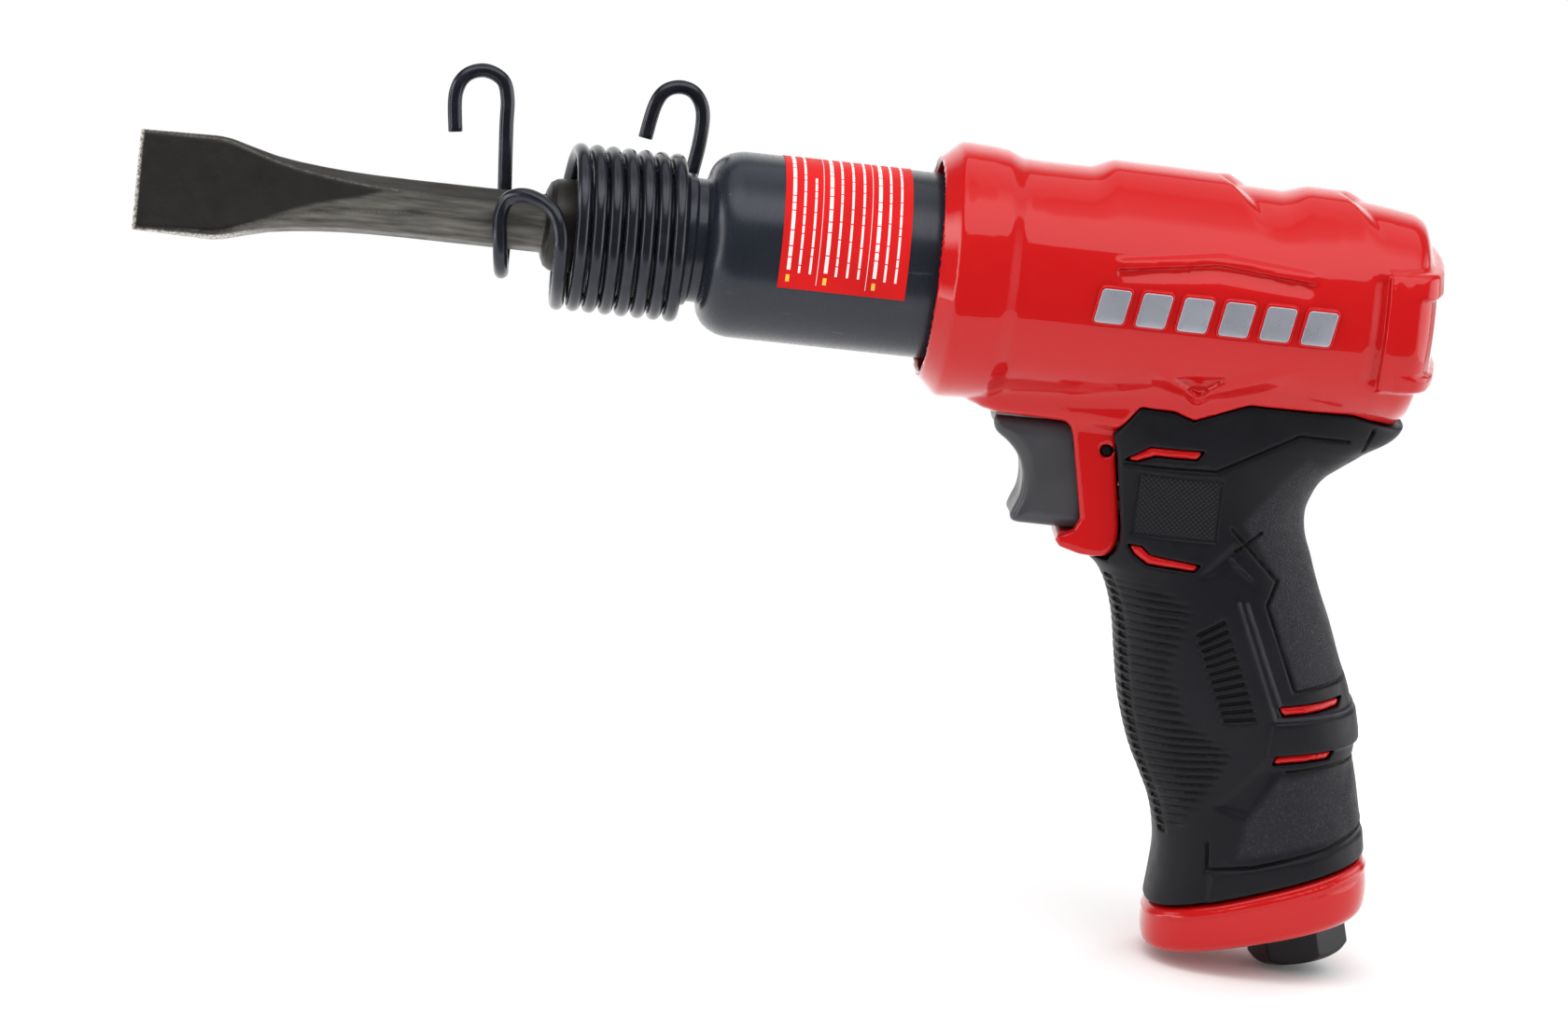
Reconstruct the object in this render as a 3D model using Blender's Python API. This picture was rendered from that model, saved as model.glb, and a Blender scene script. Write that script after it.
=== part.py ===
"""Pistol-grip pneumatic air hammer with a flat chisel held by a coil retainer.

Lengths below are millimetres. The barrel axis is X, the chisel points along -X,
+Z is up and x = 0 is the flat rear face of the housing.
"""

import math

import bmesh
import bpy
from mathutils import Matrix, Vector

MM = 0.001
GAP = 0.3

# Barrel and hammer
BARREL_R = 20.0
NOSE_R = 13.8
NOSE_FRONT = -185.1
BARREL_SHOULDER = -93.6
BARREL_REAR = -49.7
THREAD_R = 17.0
SHANK_BORE_R = 5.4
PISTON_BORE_R = 9.7
PISTON_R = 9.4
PISTON_FRONT = -88.6
PISTON_REAR = -50.6

# Chisel and its retainer, both turned about the barrel axis in the rest pose
CHISEL_TURN = math.radians(26.0)
SHANK_R = 5.1
SHANK_END = -156.2
COLLAR_R = 10.0
RETAINER_TURN = math.radians(14.0)
WIRE_R = 1.55
COIL_R = 16.5
COIL_TURNS = 7
COIL_FRONT = -188.2
COIL_REAR = -163.8

# Housing
MOUTH_BORE_R = 22.8
HOUSING_HALF_WIDTH = 25.0
CHIN_Z = -28.7
CHAMBER_R = 15.4
CHAMBER_REAR = -26.0
POST_HALF_WIDTH = 11.0
GRIP_WALL = 3.0

# Badge on each side
BADGE_FRONT = -75.9
BADGE_REAR = -22.3
BADGE_BARS = 6

# Trigger and throttle
TRIGGER_HALF_WIDTH = 7.8
TRIGGER_REAR = -68.6
TRIGGER_TRAVEL = 5.5
PIN_X = -67.1
PIN_Z = -33.9
PIN_R = 1.15
THROTTLE_Z = -45.5
THROTTLE_BORE_R = 6.2

# Air inlet, on an axis that leans back by INLET_TILT
INLET_TILT = math.radians(15.0)
INLET_END = (-9.7, 0.0, -143.3)
HEX_CIRCUMRADIUS = 10.9
HEX_LENGTH = 8.1
BUSHING_NECK_R = 8.0


# ---------------------------------------------------------------- mesh helpers


def clear_scene():
    for found in list(bpy.data.objects):
        bpy.data.objects.remove(found, do_unlink=True)


def material(name, color, metallic, roughness):
    made = bpy.data.materials.new(name)
    made.use_nodes = True
    shader = made.node_tree.nodes["Principled BSDF"]
    shader.inputs["Base Color"].default_value = (*color, 1.0)
    shader.inputs["Metallic"].default_value = metallic
    shader.inputs["Roughness"].default_value = roughness
    return made


def mesh_object(name, points, faces):
    """A closed mesh with outward normals. Points are millimetres."""
    mesh = bpy.data.meshes.new(name)
    work = bmesh.new()
    made = [work.verts.new(Vector(point) * MM) for point in points]
    for face in faces:
        work.faces.new([made[index] for index in face])
    bmesh.ops.remove_doubles(work, verts=work.verts, dist=1e-7)
    bmesh.ops.recalc_face_normals(work, faces=work.faces)
    if work.calc_volume(signed=True) < 0:
        bmesh.ops.reverse_faces(work, faces=work.faces)
    work.to_mesh(mesh)
    work.free()
    obj = bpy.data.objects.new(name, mesh)
    bpy.context.scene.collection.objects.link(obj)
    return obj


def loft(name, rings):
    """A solid through rings that all hold the same number of points."""
    count = len(rings[0])
    points = [point for ring in rings for point in ring]
    faces = [list(range(count)), list(range(len(points) - count, len(points)))]
    for level in range(len(rings) - 1):
        base = level * count
        for index in range(count):
            after = (index + 1) % count
            faces.append(
                [base + index, base + after, base + count + after, base + count + index]
            )
    return mesh_object(name, points, faces)


def frame_along(direction):
    """Two unit vectors square to the direction."""
    axis = Vector(direction).normalized()
    side = axis.cross(Vector((0.0, 1.0, 0.0)))
    if side.length < 1e-3:
        side = axis.cross(Vector((0.0, 0.0, 1.0)))
    side.normalize()
    return side, axis.cross(side)


def lathe(name, profile, segments, origin=(0.0, 0.0, 0.0), axis=(1.0, 0.0, 0.0)):
    """A turned solid. The closed profile holds (distance along the axis, radius)."""
    center = Vector(origin)
    along = Vector(axis).normalized()
    side, other = frame_along(along)
    points = []
    rows = []
    for distance, radius in profile:
        if radius < 1e-6:
            rows.append([len(points)] * segments)
            points.append(center + along * distance)
            continue
        rows.append(list(range(len(points), len(points) + segments)))
        for index in range(segments):
            turn = 2.0 * math.pi * index / segments
            spoke = side * math.cos(turn) + other * math.sin(turn)
            points.append(center + along * distance + spoke * radius)
    faces = []
    for row, below in zip(rows, rows[1:] + rows[:1]):
        for index in range(segments):
            after = (index + 1) % segments
            corners = [row[index], row[after], below[after], below[index]]
            kept = [c for place, c in enumerate(corners) if c not in corners[:place]]
            if len(kept) > 2:
                faces.append(kept)
    return mesh_object(name, points, faces)


def rod(name, start, end, radius, segments=16):
    span = Vector(end) - Vector(start)
    profile = [(0.0, 0.0), (0.0, radius), (span.length, radius), (span.length, 0.0)]
    return lathe(name, profile, segments, start, span)


def torus(name, center, major, minor, axis=(1.0, 0.0, 0.0), segments=18, sides=6):
    profile = []
    for index in range(sides):
        turn = 2.0 * math.pi * index / sides
        profile.append((minor * math.cos(turn), major + minor * math.sin(turn)))
    return lathe(name, profile, segments, center, axis)


def tube(name, path, radius, sides=8):
    """A round wire along a path, with flat ends."""
    spots = [Vector(point) for point in path]
    tangents = []
    for index in range(len(spots)):
        before = spots[max(index - 1, 0)]
        after = spots[min(index + 1, len(spots) - 1)]
        tangents.append((after - before).normalized())
    normal = frame_along(tangents[0])[0]
    rings = []
    for spot, tangent in zip(spots, tangents):
        normal = (normal - tangent * normal.dot(tangent)).normalized()
        other = tangent.cross(normal)
        ring = []
        for index in range(sides):
            turn = 2.0 * math.pi * index / sides
            spoke = normal * math.cos(turn) + other * math.sin(turn)
            ring.append(spot + spoke * radius)
        rings.append(ring)
    return loft(name, rings)


def outline_normals(outline):
    normals = []
    count = len(outline)
    for index in range(count):
        before = Vector(outline[index - 1])
        here = Vector(outline[index])
        after = Vector(outline[(index + 1) % count])
        first = (here - before).normalized()
        second = (after - here).normalized()
        across = Vector((first.y + second.y, -first.x - second.x))
        length = max(across.length, 0.5)
        normals.append(across * (2.0 / (length * length)))
    return normals


def prism(name, outline, half_width, chamfer=0.0, grow=0.0, center_y=0.0):
    """A plate whose (x, z) outline runs counter-clockwise, as thick as Y allows."""
    normals = outline_normals(outline)

    def ring(offset, y):
        return [
            (x + normal.x * offset, y, z + normal.y * offset)
            for (x, z), normal in zip(outline, normals)
        ]

    half = half_width + grow
    if chamfer == 0.0:
        rings = [ring(grow, center_y - half), ring(grow, center_y + half)]
    else:
        rings = [
            ring(grow - chamfer, center_y - half),
            ring(grow, center_y - half + chamfer),
            ring(grow, center_y + half - chamfer),
            ring(grow - chamfer, center_y + half),
        ]
    return loft(name, rings)


def box(name, low, high):
    outline = [
        (low[0], low[2]),
        (high[0], low[2]),
        (high[0], high[2]),
        (low[0], high[2]),
    ]
    half = (high[1] - low[1]) / 2.0
    return prism(name, outline, half, center_y=(high[1] + low[1]) / 2.0)


def ribbon(name, line, half_thickness, half_width):
    """A strip of constant thickness along a line in (x, z)."""
    upper = []
    lower = []
    for index, (x, z) in enumerate(line):
        before = Vector(line[max(index - 1, 0)])
        after = Vector(line[min(index + 1, len(line) - 1)])
        along = (after - before).normalized()
        upper.append((x - along.y * half_thickness, z + along.x * half_thickness))
        lower.append((x + along.y * half_thickness, z - along.x * half_thickness))
    return prism(name, lower + upper[::-1], half_width)


def combine(body, tools, operation):
    """Applies one Boolean per tool and removes the tools."""
    for tool in tools:
        step = body.modifiers.new("step", "BOOLEAN")
        step.operation = operation
        step.solver = "EXACT"
        step.object = tool
        bpy.context.view_layer.update()
        graph = bpy.context.evaluated_depsgraph_get()
        result = bpy.data.meshes.new_from_object(body.evaluated_get(graph))
        body.modifiers.clear()
        body.data = result
        bpy.data.objects.remove(tool, do_unlink=True)
    return body


def join(body, *tools):
    return combine(body, tools, "UNION")


def cut(body, *tools):
    return combine(body, tools, "DIFFERENCE")


def keep(body, *tools):
    return combine(body, tools, "INTERSECT")


def turned_about_x(points, angle):
    turn = Matrix.Rotation(angle, 3, "X")
    return [turn @ Vector(point) for point in points]


def attach(parent, *children):
    """Parents the children where they are."""
    bpy.context.view_layer.update()
    for child in children:
        child.parent = parent
        child.matrix_parent_inverse = parent.matrix_world.inverted()


def finish(obj, slot, smooth_angle=35.0, origin=None):
    """Gives the object its material, its shading and its origin."""
    obj.data.materials.clear()
    obj.data.materials.append(slot)
    work = bmesh.new()
    work.from_mesh(obj.data)
    bmesh.ops.remove_doubles(work, verts=work.verts, dist=2e-7)
    if origin:
        bmesh.ops.translate(work, verts=work.verts, vec=Vector(origin) * -MM)
        obj.location = Vector(origin) * MM
    work.to_mesh(obj.data)
    work.free()
    for face in obj.data.polygons:
        face.use_smooth = True
    obj.data.set_sharp_from_angle(angle=math.radians(smooth_angle))
    return obj


# ------------------------------------------------------------- shaped sections


def soft_max(first, second, reach):
    blend = max(reach - abs(first - second), 0.0) / reach
    return max(first, second) + blend * blend * reach / 4.0


def soft_min(first, second, reach):
    return -soft_max(-first, -second, reach)


# x, height above the axis, half width, depth below the axis, neck half width,
# neck depth
BODY_STATIONS = [
    (-109.5, 23.3, 23.3, 23.5, 0.0, 0.0),
    (-109.0, 23.9, 23.9, 24.2, 0.0, 0.0),
    (-105.3, 27.1, 27.1, 27.5, 0.0, 0.0),
    (-103.5, 27.3, 27.3, 27.7, 0.0, 0.0),
    (-97.0, 27.0, 27.0, 27.4, 8.0, 26.0),
    (-94.0, 26.4, 26.4, 26.8, 10.0, 28.0),
    (-92.3, 25.4, 25.4, 26.0, 10.5, 28.7),
    (-88.0, 25.1, 25.1, 25.4, 11.0, 28.7),
    (-75.8, 25.2, 25.0, 25.2, 12.0, 28.7),
    (-72.6, 26.8, 25.0, 25.0, 12.6, 28.7),
    (-66.0, 26.9, 25.0, 25.0, 14.0, 28.7),
    (-60.0, 26.8, 25.0, 25.0, 15.8, 28.7),
    (-49.4, 26.6, 25.0, 25.0, 17.2, 28.7),
    (-45.4, 24.6, 25.0, 25.0, 17.3, 28.5),
    (-35.2, 24.4, 25.0, 25.0, 17.2, 28.0),
    (-29.5, 25.8, 24.9, 24.9, 16.8, 27.5),
    (-24.3, 25.6, 24.7, 24.7, 16.0, 27.0),
    (-18.3, 23.9, 24.2, 24.5, 14.4, 26.5),
    (-12.0, 23.2, 23.6, 24.2, 12.0, 26.0),
    (-6.2, 22.3, 22.6, 23.4, 7.5, 25.0),
    (-4.0, 21.2, 21.4, 21.6, 0.0, 0.0),
    (-2.6, 17.6, 18.0, 18.0, 0.0, 0.0),
    (-1.7, 12.6, 13.0, 13.0, 0.0, 0.0),
    (-1.0, 8.0, 8.4, 8.4, 0.0, 0.0),
]
REAR_PAD_STATION = 12
SIDE_ANGLES = (90, 76, 62, 48, 34, 20, 8, -4, -16, -28, -38, -46)
LOW_ANGLES = (-52, -57, -61, -66, -73, -81, -90)


def body_ring(x, up, width, down, neck, depth, grow):
    """One section of the body: an oval with a square neck below it."""
    half = []
    for degrees in SIDE_ANGLES + LOW_ANGLES:
        angle = math.radians(degrees)
        level = up if degrees > 0 else down
        reach = 1.0 / math.hypot(math.cos(angle) / width, math.sin(angle) / level)
        if degrees < 0 and neck > 0.0:
            side = neck / max(math.cos(angle), 1e-6)
            below = depth / max(-math.sin(angle), 1e-6)
            reach = soft_max(reach, soft_min(side, below, 3.5), 3.0)
        reach += grow
        half.append((x, reach * math.cos(angle), reach * math.sin(angle)))
    mirrored = [(x, -y, z) for x, y, z in half[1:-1]]
    return half + mirrored[::-1]


def body_solid(name, grow=0.0, first=0):
    """The body from one of its stations to the rear face, grown outwards."""
    rings = []
    last = len(BODY_STATIONS) - 1
    for index, station in enumerate(BODY_STATIONS[first:], first):
        x, *shape = station
        shift = grow if index > last - 4 else 0.0
        rings.append(body_ring(x + shift, *shape, grow))
    return loft(name, rings)


# Front edge and back edge of the handle in (x, z), half width and squareness
HANDLE_STATIONS = [
    ((-75.7, -12.0), (-3.7, -12.0), 17.3, 2.6),
    ((-75.5, -24.0), (-3.3, -24.0), 17.3, 2.6),
    ((-73.3, -30.0), (-10.9, -30.0), 17.3, 2.6),
    ((-71.7, -36.5), (-18.3, -36.0), 17.0, 2.5),
    ((-70.4, -47.0), (-21.6, -45.5), 16.6, 2.5),
    ((-69.8, -52.5), (-20.8, -49.8), 16.7, 2.5),
    ((-68.5, -57.8), (-19.1, -54.0), 16.9, 2.4),
    ((-65.2, -61.0), (-17.6, -58.0), 17.1, 2.4),
    ((-62.5, -65.5), (-15.6, -62.8), 17.4, 2.4),
    ((-60.2, -72.2), (-13.1, -68.2), 17.8, 2.4),
    ((-56.9, -88.5), (-7.1, -82.5), 18.0, 2.4),
    ((-55.4, -93.6), (-5.2, -88.8), 17.8, 2.4),
    ((-53.0, -100.0), (-4.3, -93.0), 17.5, 2.4),
    ((-47.1, -111.6), (-2.9, -103.0), 17.3, 2.4),
    ((-45.3, -117.6), (-1.6, -108.4), 17.6, 2.5),
    ((-44.6, -123.5), (-0.5, -112.8), 18.0, 2.5),
    ((-45.1, -134.6), (0.7, -118.7), 18.4, 2.5),
]


def oval(front, back, half_width, power, count, inset=0.0):
    """A squared oval in the tilted plane through the two edge points."""
    start = Vector((front[0], 0.0, front[1]))
    end = Vector((back[0], 0.0, back[1]))
    center = (start + end) / 2.0
    along = (end - start) / 2.0
    long_half = along.length - inset
    along.normalize()
    ring = []
    for index in range(count):
        turn = 2.0 * math.pi * index / count
        c, s = math.cos(turn), math.sin(turn)
        u = math.copysign(abs(c) ** (2.0 / power), c) * long_half
        v = math.copysign(abs(s) ** (2.0 / power), s) * (half_width - inset)
        ring.append(center + along * u + Vector((0.0, v, 0.0)))
    return ring


def handle_solid(name, inset=0.0, extra=0.0):
    rings = [oval(*station, 24, inset) for station in HANDLE_STATIONS]
    if extra:
        front, back, half_width, power = HANDLE_STATIONS[-1]
        low_front = (front[0], front[1] - extra)
        low_back = (back[0], back[1] - extra)
        rings.append(oval(low_front, low_back, half_width, power, 24, inset))
    return loft(name, rings)


# Line between the bare housing and the rubber grip, front to back, in (x, z)
GRIP_LINE = [
    (-66.3, -29.5),
    (-61.5, -22.4),
    (-54.4, -22.4),
    (-49.9, -23.8),
    (-44.4, -21.4),
    (-38.4, -18.9),
    (-16.3, -19.2),
    (-4.5, -22.6),
]
POST_LINE = [(-65.1, -57.0), (-62.5, -54.0), (-62.2, -50.8), (-65.2, -34.1)]
POST_OUTLINE = [
    (-56.5, -24.0),
    (-76.3, -24.0),
    (-75.8, -28.6),
    (-74.7, -31.5),
    (-70.8, -49.6),
    (-71.8, -52.2),
    (-75.0, -53.8),
    (-75.3, -55.0),
    (-73.1, -56.2),
    (-68.2, -57.0),
    (-60.7, -57.0),
    (-55.8, -53.0),
]
CAP_PLANE_FRONT = (-46.4, -135.1)
CAP_PLANE_BACK = (2.0, -118.3)
CAP_GAP = 0.6
WINDOWS = [
    [(-62.3, -34.7), (-58.6, -31.7), (-47.5, -31.3)],
    [(-59.4, -53.5), (-55.5, -55.8), (-45.0, -56.6)],
    [(-23.1, -85.8), (-10.2, -83.3)],
    [(-23.0, -97.1), (-10.2, -94.8)],
]


def line_above_cap():
    """Two far points on the line where the grip and the core end, back first."""
    front = Vector(CAP_PLANE_FRONT)
    back = Vector(CAP_PLANE_BACK)
    reach = (back - front) * 0.4
    lift = Vector((0.0, CAP_GAP))
    return [tuple(back + reach + lift), tuple(front - reach + lift)]


def inlet_direction():
    return Vector((math.sin(INLET_TILT), 0.0, -math.cos(INLET_TILT)))


def on_inlet_axis(depth):
    """The point at this depth inside the end face of the inlet."""
    return Vector(INLET_END) - inlet_direction() * depth


# ------------------------------------------------------------- working pieces


def make_chisel(slot):
    u_axis = Vector((0.0, math.sin(CHISEL_TURN), math.cos(CHISEL_TURN)))
    v_axis = Vector((0.0, -math.cos(CHISEL_TURN), math.sin(CHISEL_TURN)))
    stations = [
        (-280.6, 11.0, 0.55, 0.4, 0.2),
        (-280.1, 11.15, 0.75, 0.5, 0.3),
        (-263.4, 11.15, 2.7, 0.9, 0.8),
        (-260.0, 10.5, 3.1, 1.1, 1.0),
        (-256.2, 9.3, 3.6, 1.3, 1.2),
        (-251.2, 8.0, 4.2, 1.7, 1.7),
        (-246.1, 7.2, 4.8, 2.2, 2.2),
        (-241.1, 6.7, 5.3, 2.6, 2.7),
        (-236.1, 6.35, 5.7, 3.0, 3.2),
        (-230.0, 6.1, 5.95, 3.4, 3.45),
        (-222.0, 6.0, 6.0, 3.52, 3.52),
        (-190.0, 6.0, 6.0, 3.52, 3.52),
    ]
    rings = []
    for x, u, v, cut_u, cut_v in stations:
        corners = [(u, v - cut_v), (u - cut_u, v), (cut_u - u, v), (-u, v - cut_v)]
        corners += [(-a, -b) for a, b in corners]
        rings.append(
            [Vector((x, 0.0, 0.0)) + u_axis * a + v_axis * b for a, b in corners]
        )
    blade = loft("chisel", rings)
    shank = lathe(
        "shank",
        [
            (-192.6, 0.0),
            (-192.6, 7.6),
            (-192.0, 9.0),
            (-190.8, 9.9),
            (-189.6, COLLAR_R),
            (-186.4, COLLAR_R),
            (-185.5, 9.4),
            (-185.5, SHANK_R),
            (SHANK_END - 1.0, SHANK_R),
            (SHANK_END, SHANK_R - 0.9),
            (SHANK_END, 0.0),
        ],
        28,
    )
    return finish(join(blade, shank), slot, 25.0, (SHANK_END, 0.0, 0.0))


def smooth_path(knots, steps):
    """Catmull-Rom points through the knots."""
    path = []
    last = len(knots) - 1
    for index in range(last):
        p0 = Vector(knots[max(index - 1, 0)])
        p1 = Vector(knots[index])
        p2 = Vector(knots[index + 1])
        p3 = Vector(knots[min(index + 2, last)])
        for step in range(steps):
            t = step / steps
            path.append(
                0.5
                * (
                    2.0 * p1
                    + (p2 - p0) * t
                    + (2.0 * p0 - 5.0 * p1 + 4.0 * p2 - p3) * t * t
                    + (3.0 * p1 - p0 - 3.0 * p2 + p3) * t * t * t
                )
            )
    path.append(Vector(knots[last]))
    return path


FRONT_WIRE = [
    (-213.1, 8.3, 17.8),
    (-213.9, 8.3, 25.5),
    (-212.2, 8.3, 29.8),
    (-208.2, 8.3, 31.4),
    (-204.2, 8.3, 29.8),
    (-202.7, 8.3, 26.0),
    (-202.3, 8.3, 20.0),
    (-201.5, 8.3, 10.0),
    (-200.8, 8.3, 2.0),
    (-200.3, 8.2, -4.0),
    (-200.3, 6.0, -9.0),
    (-200.7, 0.0, -11.2),
    (-201.6, -6.0, -9.0),
    (-202.4, -8.2, -4.0),
    (-202.8, -8.4, 0.5),
    (-201.6, -9.6, 4.2),
    (-198.6, -11.6, 5.4),
    (-195.2, -13.4, 4.6),
    (-192.0, -15.2, 2.4),
    (-190.2, -16.2, -1.5),
    (-189.6, -15.4, -6.0),
    (-189.0, -10.6, -12.6),
]
REAR_HOOK = [
    (-162.4, 16.4, 5.0),
    (-160.9, 16.5, 14.0),
    (-159.8, 16.5, 22.0),
    (-159.9, 16.5, 28.0),
    (-162.0, 16.5, 31.6),
    (-165.2, 16.5, 32.6),
    (-168.4, 16.5, 31.4),
    (-170.3, 16.5, 28.0),
    (-171.6, 16.5, 21.0),
]


def retainer_path():
    """Front hook, loop round the chisel, seven turns of coil and the rear hook."""
    steps = 14
    total = COIL_TURNS * steps
    pitch = (COIL_REAR - COIL_FRONT) / COIL_TURNS
    coil = []
    for index in range(total + 4):
        phase = math.pi / 2.0 + 2.0 * math.pi * index / steps
        x = COIL_FRONT + pitch * index / steps
        coil.append((x, -COIL_R * math.cos(phase), -COIL_R * math.sin(phase)))
    front = smooth_path(FRONT_WIRE + coil[:1], 2)[:-1]
    rear = smooth_path(coil[-1:] + REAR_HOOK, 2)[1:]
    return [Vector(p) for p in front] + [Vector(p) for p in coil] + list(rear)


def make_retainer(slot):
    path = turned_about_x(retainer_path(), -RETAINER_TURN)
    wire = tube("retainer_spring", path, WIRE_R, 6)
    return finish(wire, slot, 60.0, (COIL_REAR, 0.0, 0.0))


def make_barrel(slot):
    profile = [
        (NOSE_FRONT, SHANK_BORE_R + 0.8),
        (NOSE_FRONT, 12.6),
        (NOSE_FRONT + 1.2, NOSE_R),
        (-163.2, NOSE_R),
        (-162.8, 14.2),
        (-161.2, 14.2),
        (-160.8, 13.4),
        (-158.6, 13.4),
        (-158.2, 14.1),
        (-157.0, 15.5),
        (-155.0, 17.4),
        (-153.0, 19.1),
        (-151.8, 19.8),
        (-150.7, BARREL_R),
        (BARREL_SHOULDER, BARREL_R),
        (BARREL_SHOULDER, THREAD_R),
        (BARREL_REAR - 1.0, THREAD_R),
        (BARREL_REAR, THREAD_R - 1.0),
        (BARREL_REAR, PISTON_BORE_R),
        (-157.0, PISTON_BORE_R),
        (-158.8, SHANK_BORE_R),
        (NOSE_FRONT + 0.8, SHANK_BORE_R),
    ]
    barrel = lathe("barrel", profile, 30)
    for sign_y, sign_z in ((1, 1), (1, -1), (-1, 1), (-1, -1)):
        away = (-98.0, 16.0 * sign_y, 16.0 * sign_z)
        inside = (-98.0, 5.0 * sign_y, 5.0 * sign_z)
        cut(barrel, rod("port", inside, away, 2.0, 10))
    return finish(barrel, slot, 35.0, (BARREL_REAR, 0.0, 0.0))


def make_label(slot):
    inner = BARREL_R + 0.1
    outer = BARREL_R + 0.35
    spread = [-12, *range(-6, 127, 12), 132]
    rings = []
    for x in (-143.1, -115.6):
        ring = []
        for radius, order in ((outer, 1), (inner, -1)):
            for degrees in spread[::order]:
                angle = math.radians(degrees)
                spot = (x, -radius * math.cos(angle), radius * math.sin(angle))
                ring.append(spot)
        rings.append(ring)
    return finish(loft("barrel_label", rings), slot)


def make_barrel_seal(slot):
    profile = [
        (BARREL_SHOULDER + GAP, THREAD_R + GAP),
        (BARREL_SHOULDER + GAP, 19.6),
        (BARREL_SHOULDER + 1.5, 19.6),
        (BARREL_SHOULDER + 1.5, THREAD_R + GAP),
    ]
    return finish(lathe("barrel_seal", profile, 20), slot)


def make_piston(slot):
    profile = [
        (PISTON_FRONT, 0.0),
        (PISTON_FRONT, 7.4),
        (PISTON_FRONT + 1.0, 8.2),
        (PISTON_FRONT + 6.0, 8.2),
        (PISTON_FRONT + 7.0, PISTON_R),
        (PISTON_FRONT + 20.0, PISTON_R),
        (PISTON_FRONT + 20.4, 8.9),
        (PISTON_FRONT + 22.0, 8.9),
        (PISTON_FRONT + 22.4, PISTON_R),
        (PISTON_REAR - 1.0, PISTON_R),
        (PISTON_REAR, PISTON_R - 0.9),
        (PISTON_REAR, 4.0),
        (PISTON_REAR - 8.0, 4.0),
        (PISTON_REAR - 9.5, 0.0),
    ]
    return finish(lathe("piston", profile, 20), slot, 35.0, (PISTON_REAR, 0.0, 0.0))


# ------------------------------------------------------------ housing and grip


def post_solid(name, grow=0.0):
    chamfer = 0.0 if grow else 1.2
    return prism(name, POST_OUTLINE, POST_HALF_WIDTH, chamfer, grow)


def make_housing(slot):
    body = body_solid("housing")
    back_x = GRIP_LINE[-1][0]
    below = GRIP_LINE + [(back_x + 8.0, -24.0), (6.0, -70.0), (-67.0, -70.0)]
    cut(body, prism("below", below[::-1], 40.0))
    pad = body_solid("pad", 1.0, REAR_PAD_STATION)
    keep(pad, box("pad_zone", (-12.0, -40.0, -11.5), (5.0, 40.0, 13.5)))
    core = handle_solid("core", GRIP_WALL + GAP, 6.0)
    cap_side = [(-90.0, -190.0), (40.0, -190.0), *line_above_cap()]
    front = box("core_front", (-90.0, -30.0, -61.5), (-63.0, 30.0, 0.0))
    cut(core, prism("cap_side", cap_side, 60.0), front)
    join(core, post_solid("post"))
    join(body, pad, core)
    for line in WINDOWS:
        rib = ribbon("rib", line, 0.5, 30.0)
        keep(rib, handle_solid("limit", 0.7))
        join(body, rib)
    cut(
        body,
        rod("mouth", (-115.0, 0, 0), (-91.8, 0, 0), MOUTH_BORE_R, 36),
        rod("thread", (-95.0, 0, 0), (-49.4, 0, 0), THREAD_R + GAP, 24),
        rod("chamber", (-52.0, 0, 0), (CHAMBER_REAR, 0, 0), CHAMBER_R, 24),
        box("pocket", (-95.0, -8.1, -53.3), (-62.3, 8.1, CHIN_Z - 0.5)),
        box("channel", (-66.0, -4.0, -37.6), (-57.8, 4.0, -30.6)),
        rod("pin_hole", (PIN_X, -15, PIN_Z), (PIN_X, 15, PIN_Z), PIN_R + GAP, 12),
        rod("throttle", (-64, 0, THROTTLE_Z), (-40, 0, THROTTLE_Z), THROTTLE_BORE_R),
        rod("feed", (-58.3, 0, THROTTLE_Z), (-29.0, 0, -11.0), 2.4, 12),
        rod("socket", on_inlet_axis(8.0), on_inlet_axis(27.5), BUSHING_NECK_R + 0.4, 24),
        rod("passage", on_inlet_axis(26.0), (-44.5, 0, THROTTLE_Z + 1.0), 4.5, 14),
    )
    return finish(body, slot, 32.0)


def make_grip(slot):
    grip = handle_solid("grip_sleeve", 0.0, 6.0)
    zone = [(x, z - GAP) for x, z in GRIP_LINE]
    zone += [(4.0, -24.3), *line_above_cap(), (-80.0, -57.6)]
    zone += [(x + GAP, z) for x, z in POST_LINE]
    keep(grip, prism("zone", zone[::-1], 40.0))
    cut(grip, handle_solid("core_room", GRIP_WALL, 8.0), post_solid("post_room", GAP))
    for line in WINDOWS:
        longer = [Vector(point) for point in line]
        longer[0] += (longer[0] - longer[1]).normalized() * GAP
        longer[-1] += (longer[-1] - longer[-2]).normalized() * GAP
        cut(grip, ribbon("window", longer, 0.5 + GAP, 30.0))
    return finish(grip, slot, 32.0)


def make_base_cap(slot):
    stations = [
        ((-45.1, -134.8), (0.8, -118.9), 18.7, 2.5),
        ((-46.0, -136.6), (1.8, -120.5), 19.4, 2.5),
        ((-45.6, -139.2), (3.0, -124.2), 19.5, 2.5),
        ((-44.4, -141.6), (3.3, -128.6), 19.2, 2.5),
        ((-43.0, -142.8), (2.3, -130.9), 18.3, 2.5),
        ((-41.4, -143.1), (0.6, -131.8), 16.8, 2.5),
    ]
    cap = loft("base_cap", [oval(*station, 32) for station in stations])
    cut(cap, rod("bore", on_inlet_axis(-8), on_inlet_axis(32), BUSHING_NECK_R + 0.4, 24))
    return finish(cap, slot, 32.0)


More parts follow.
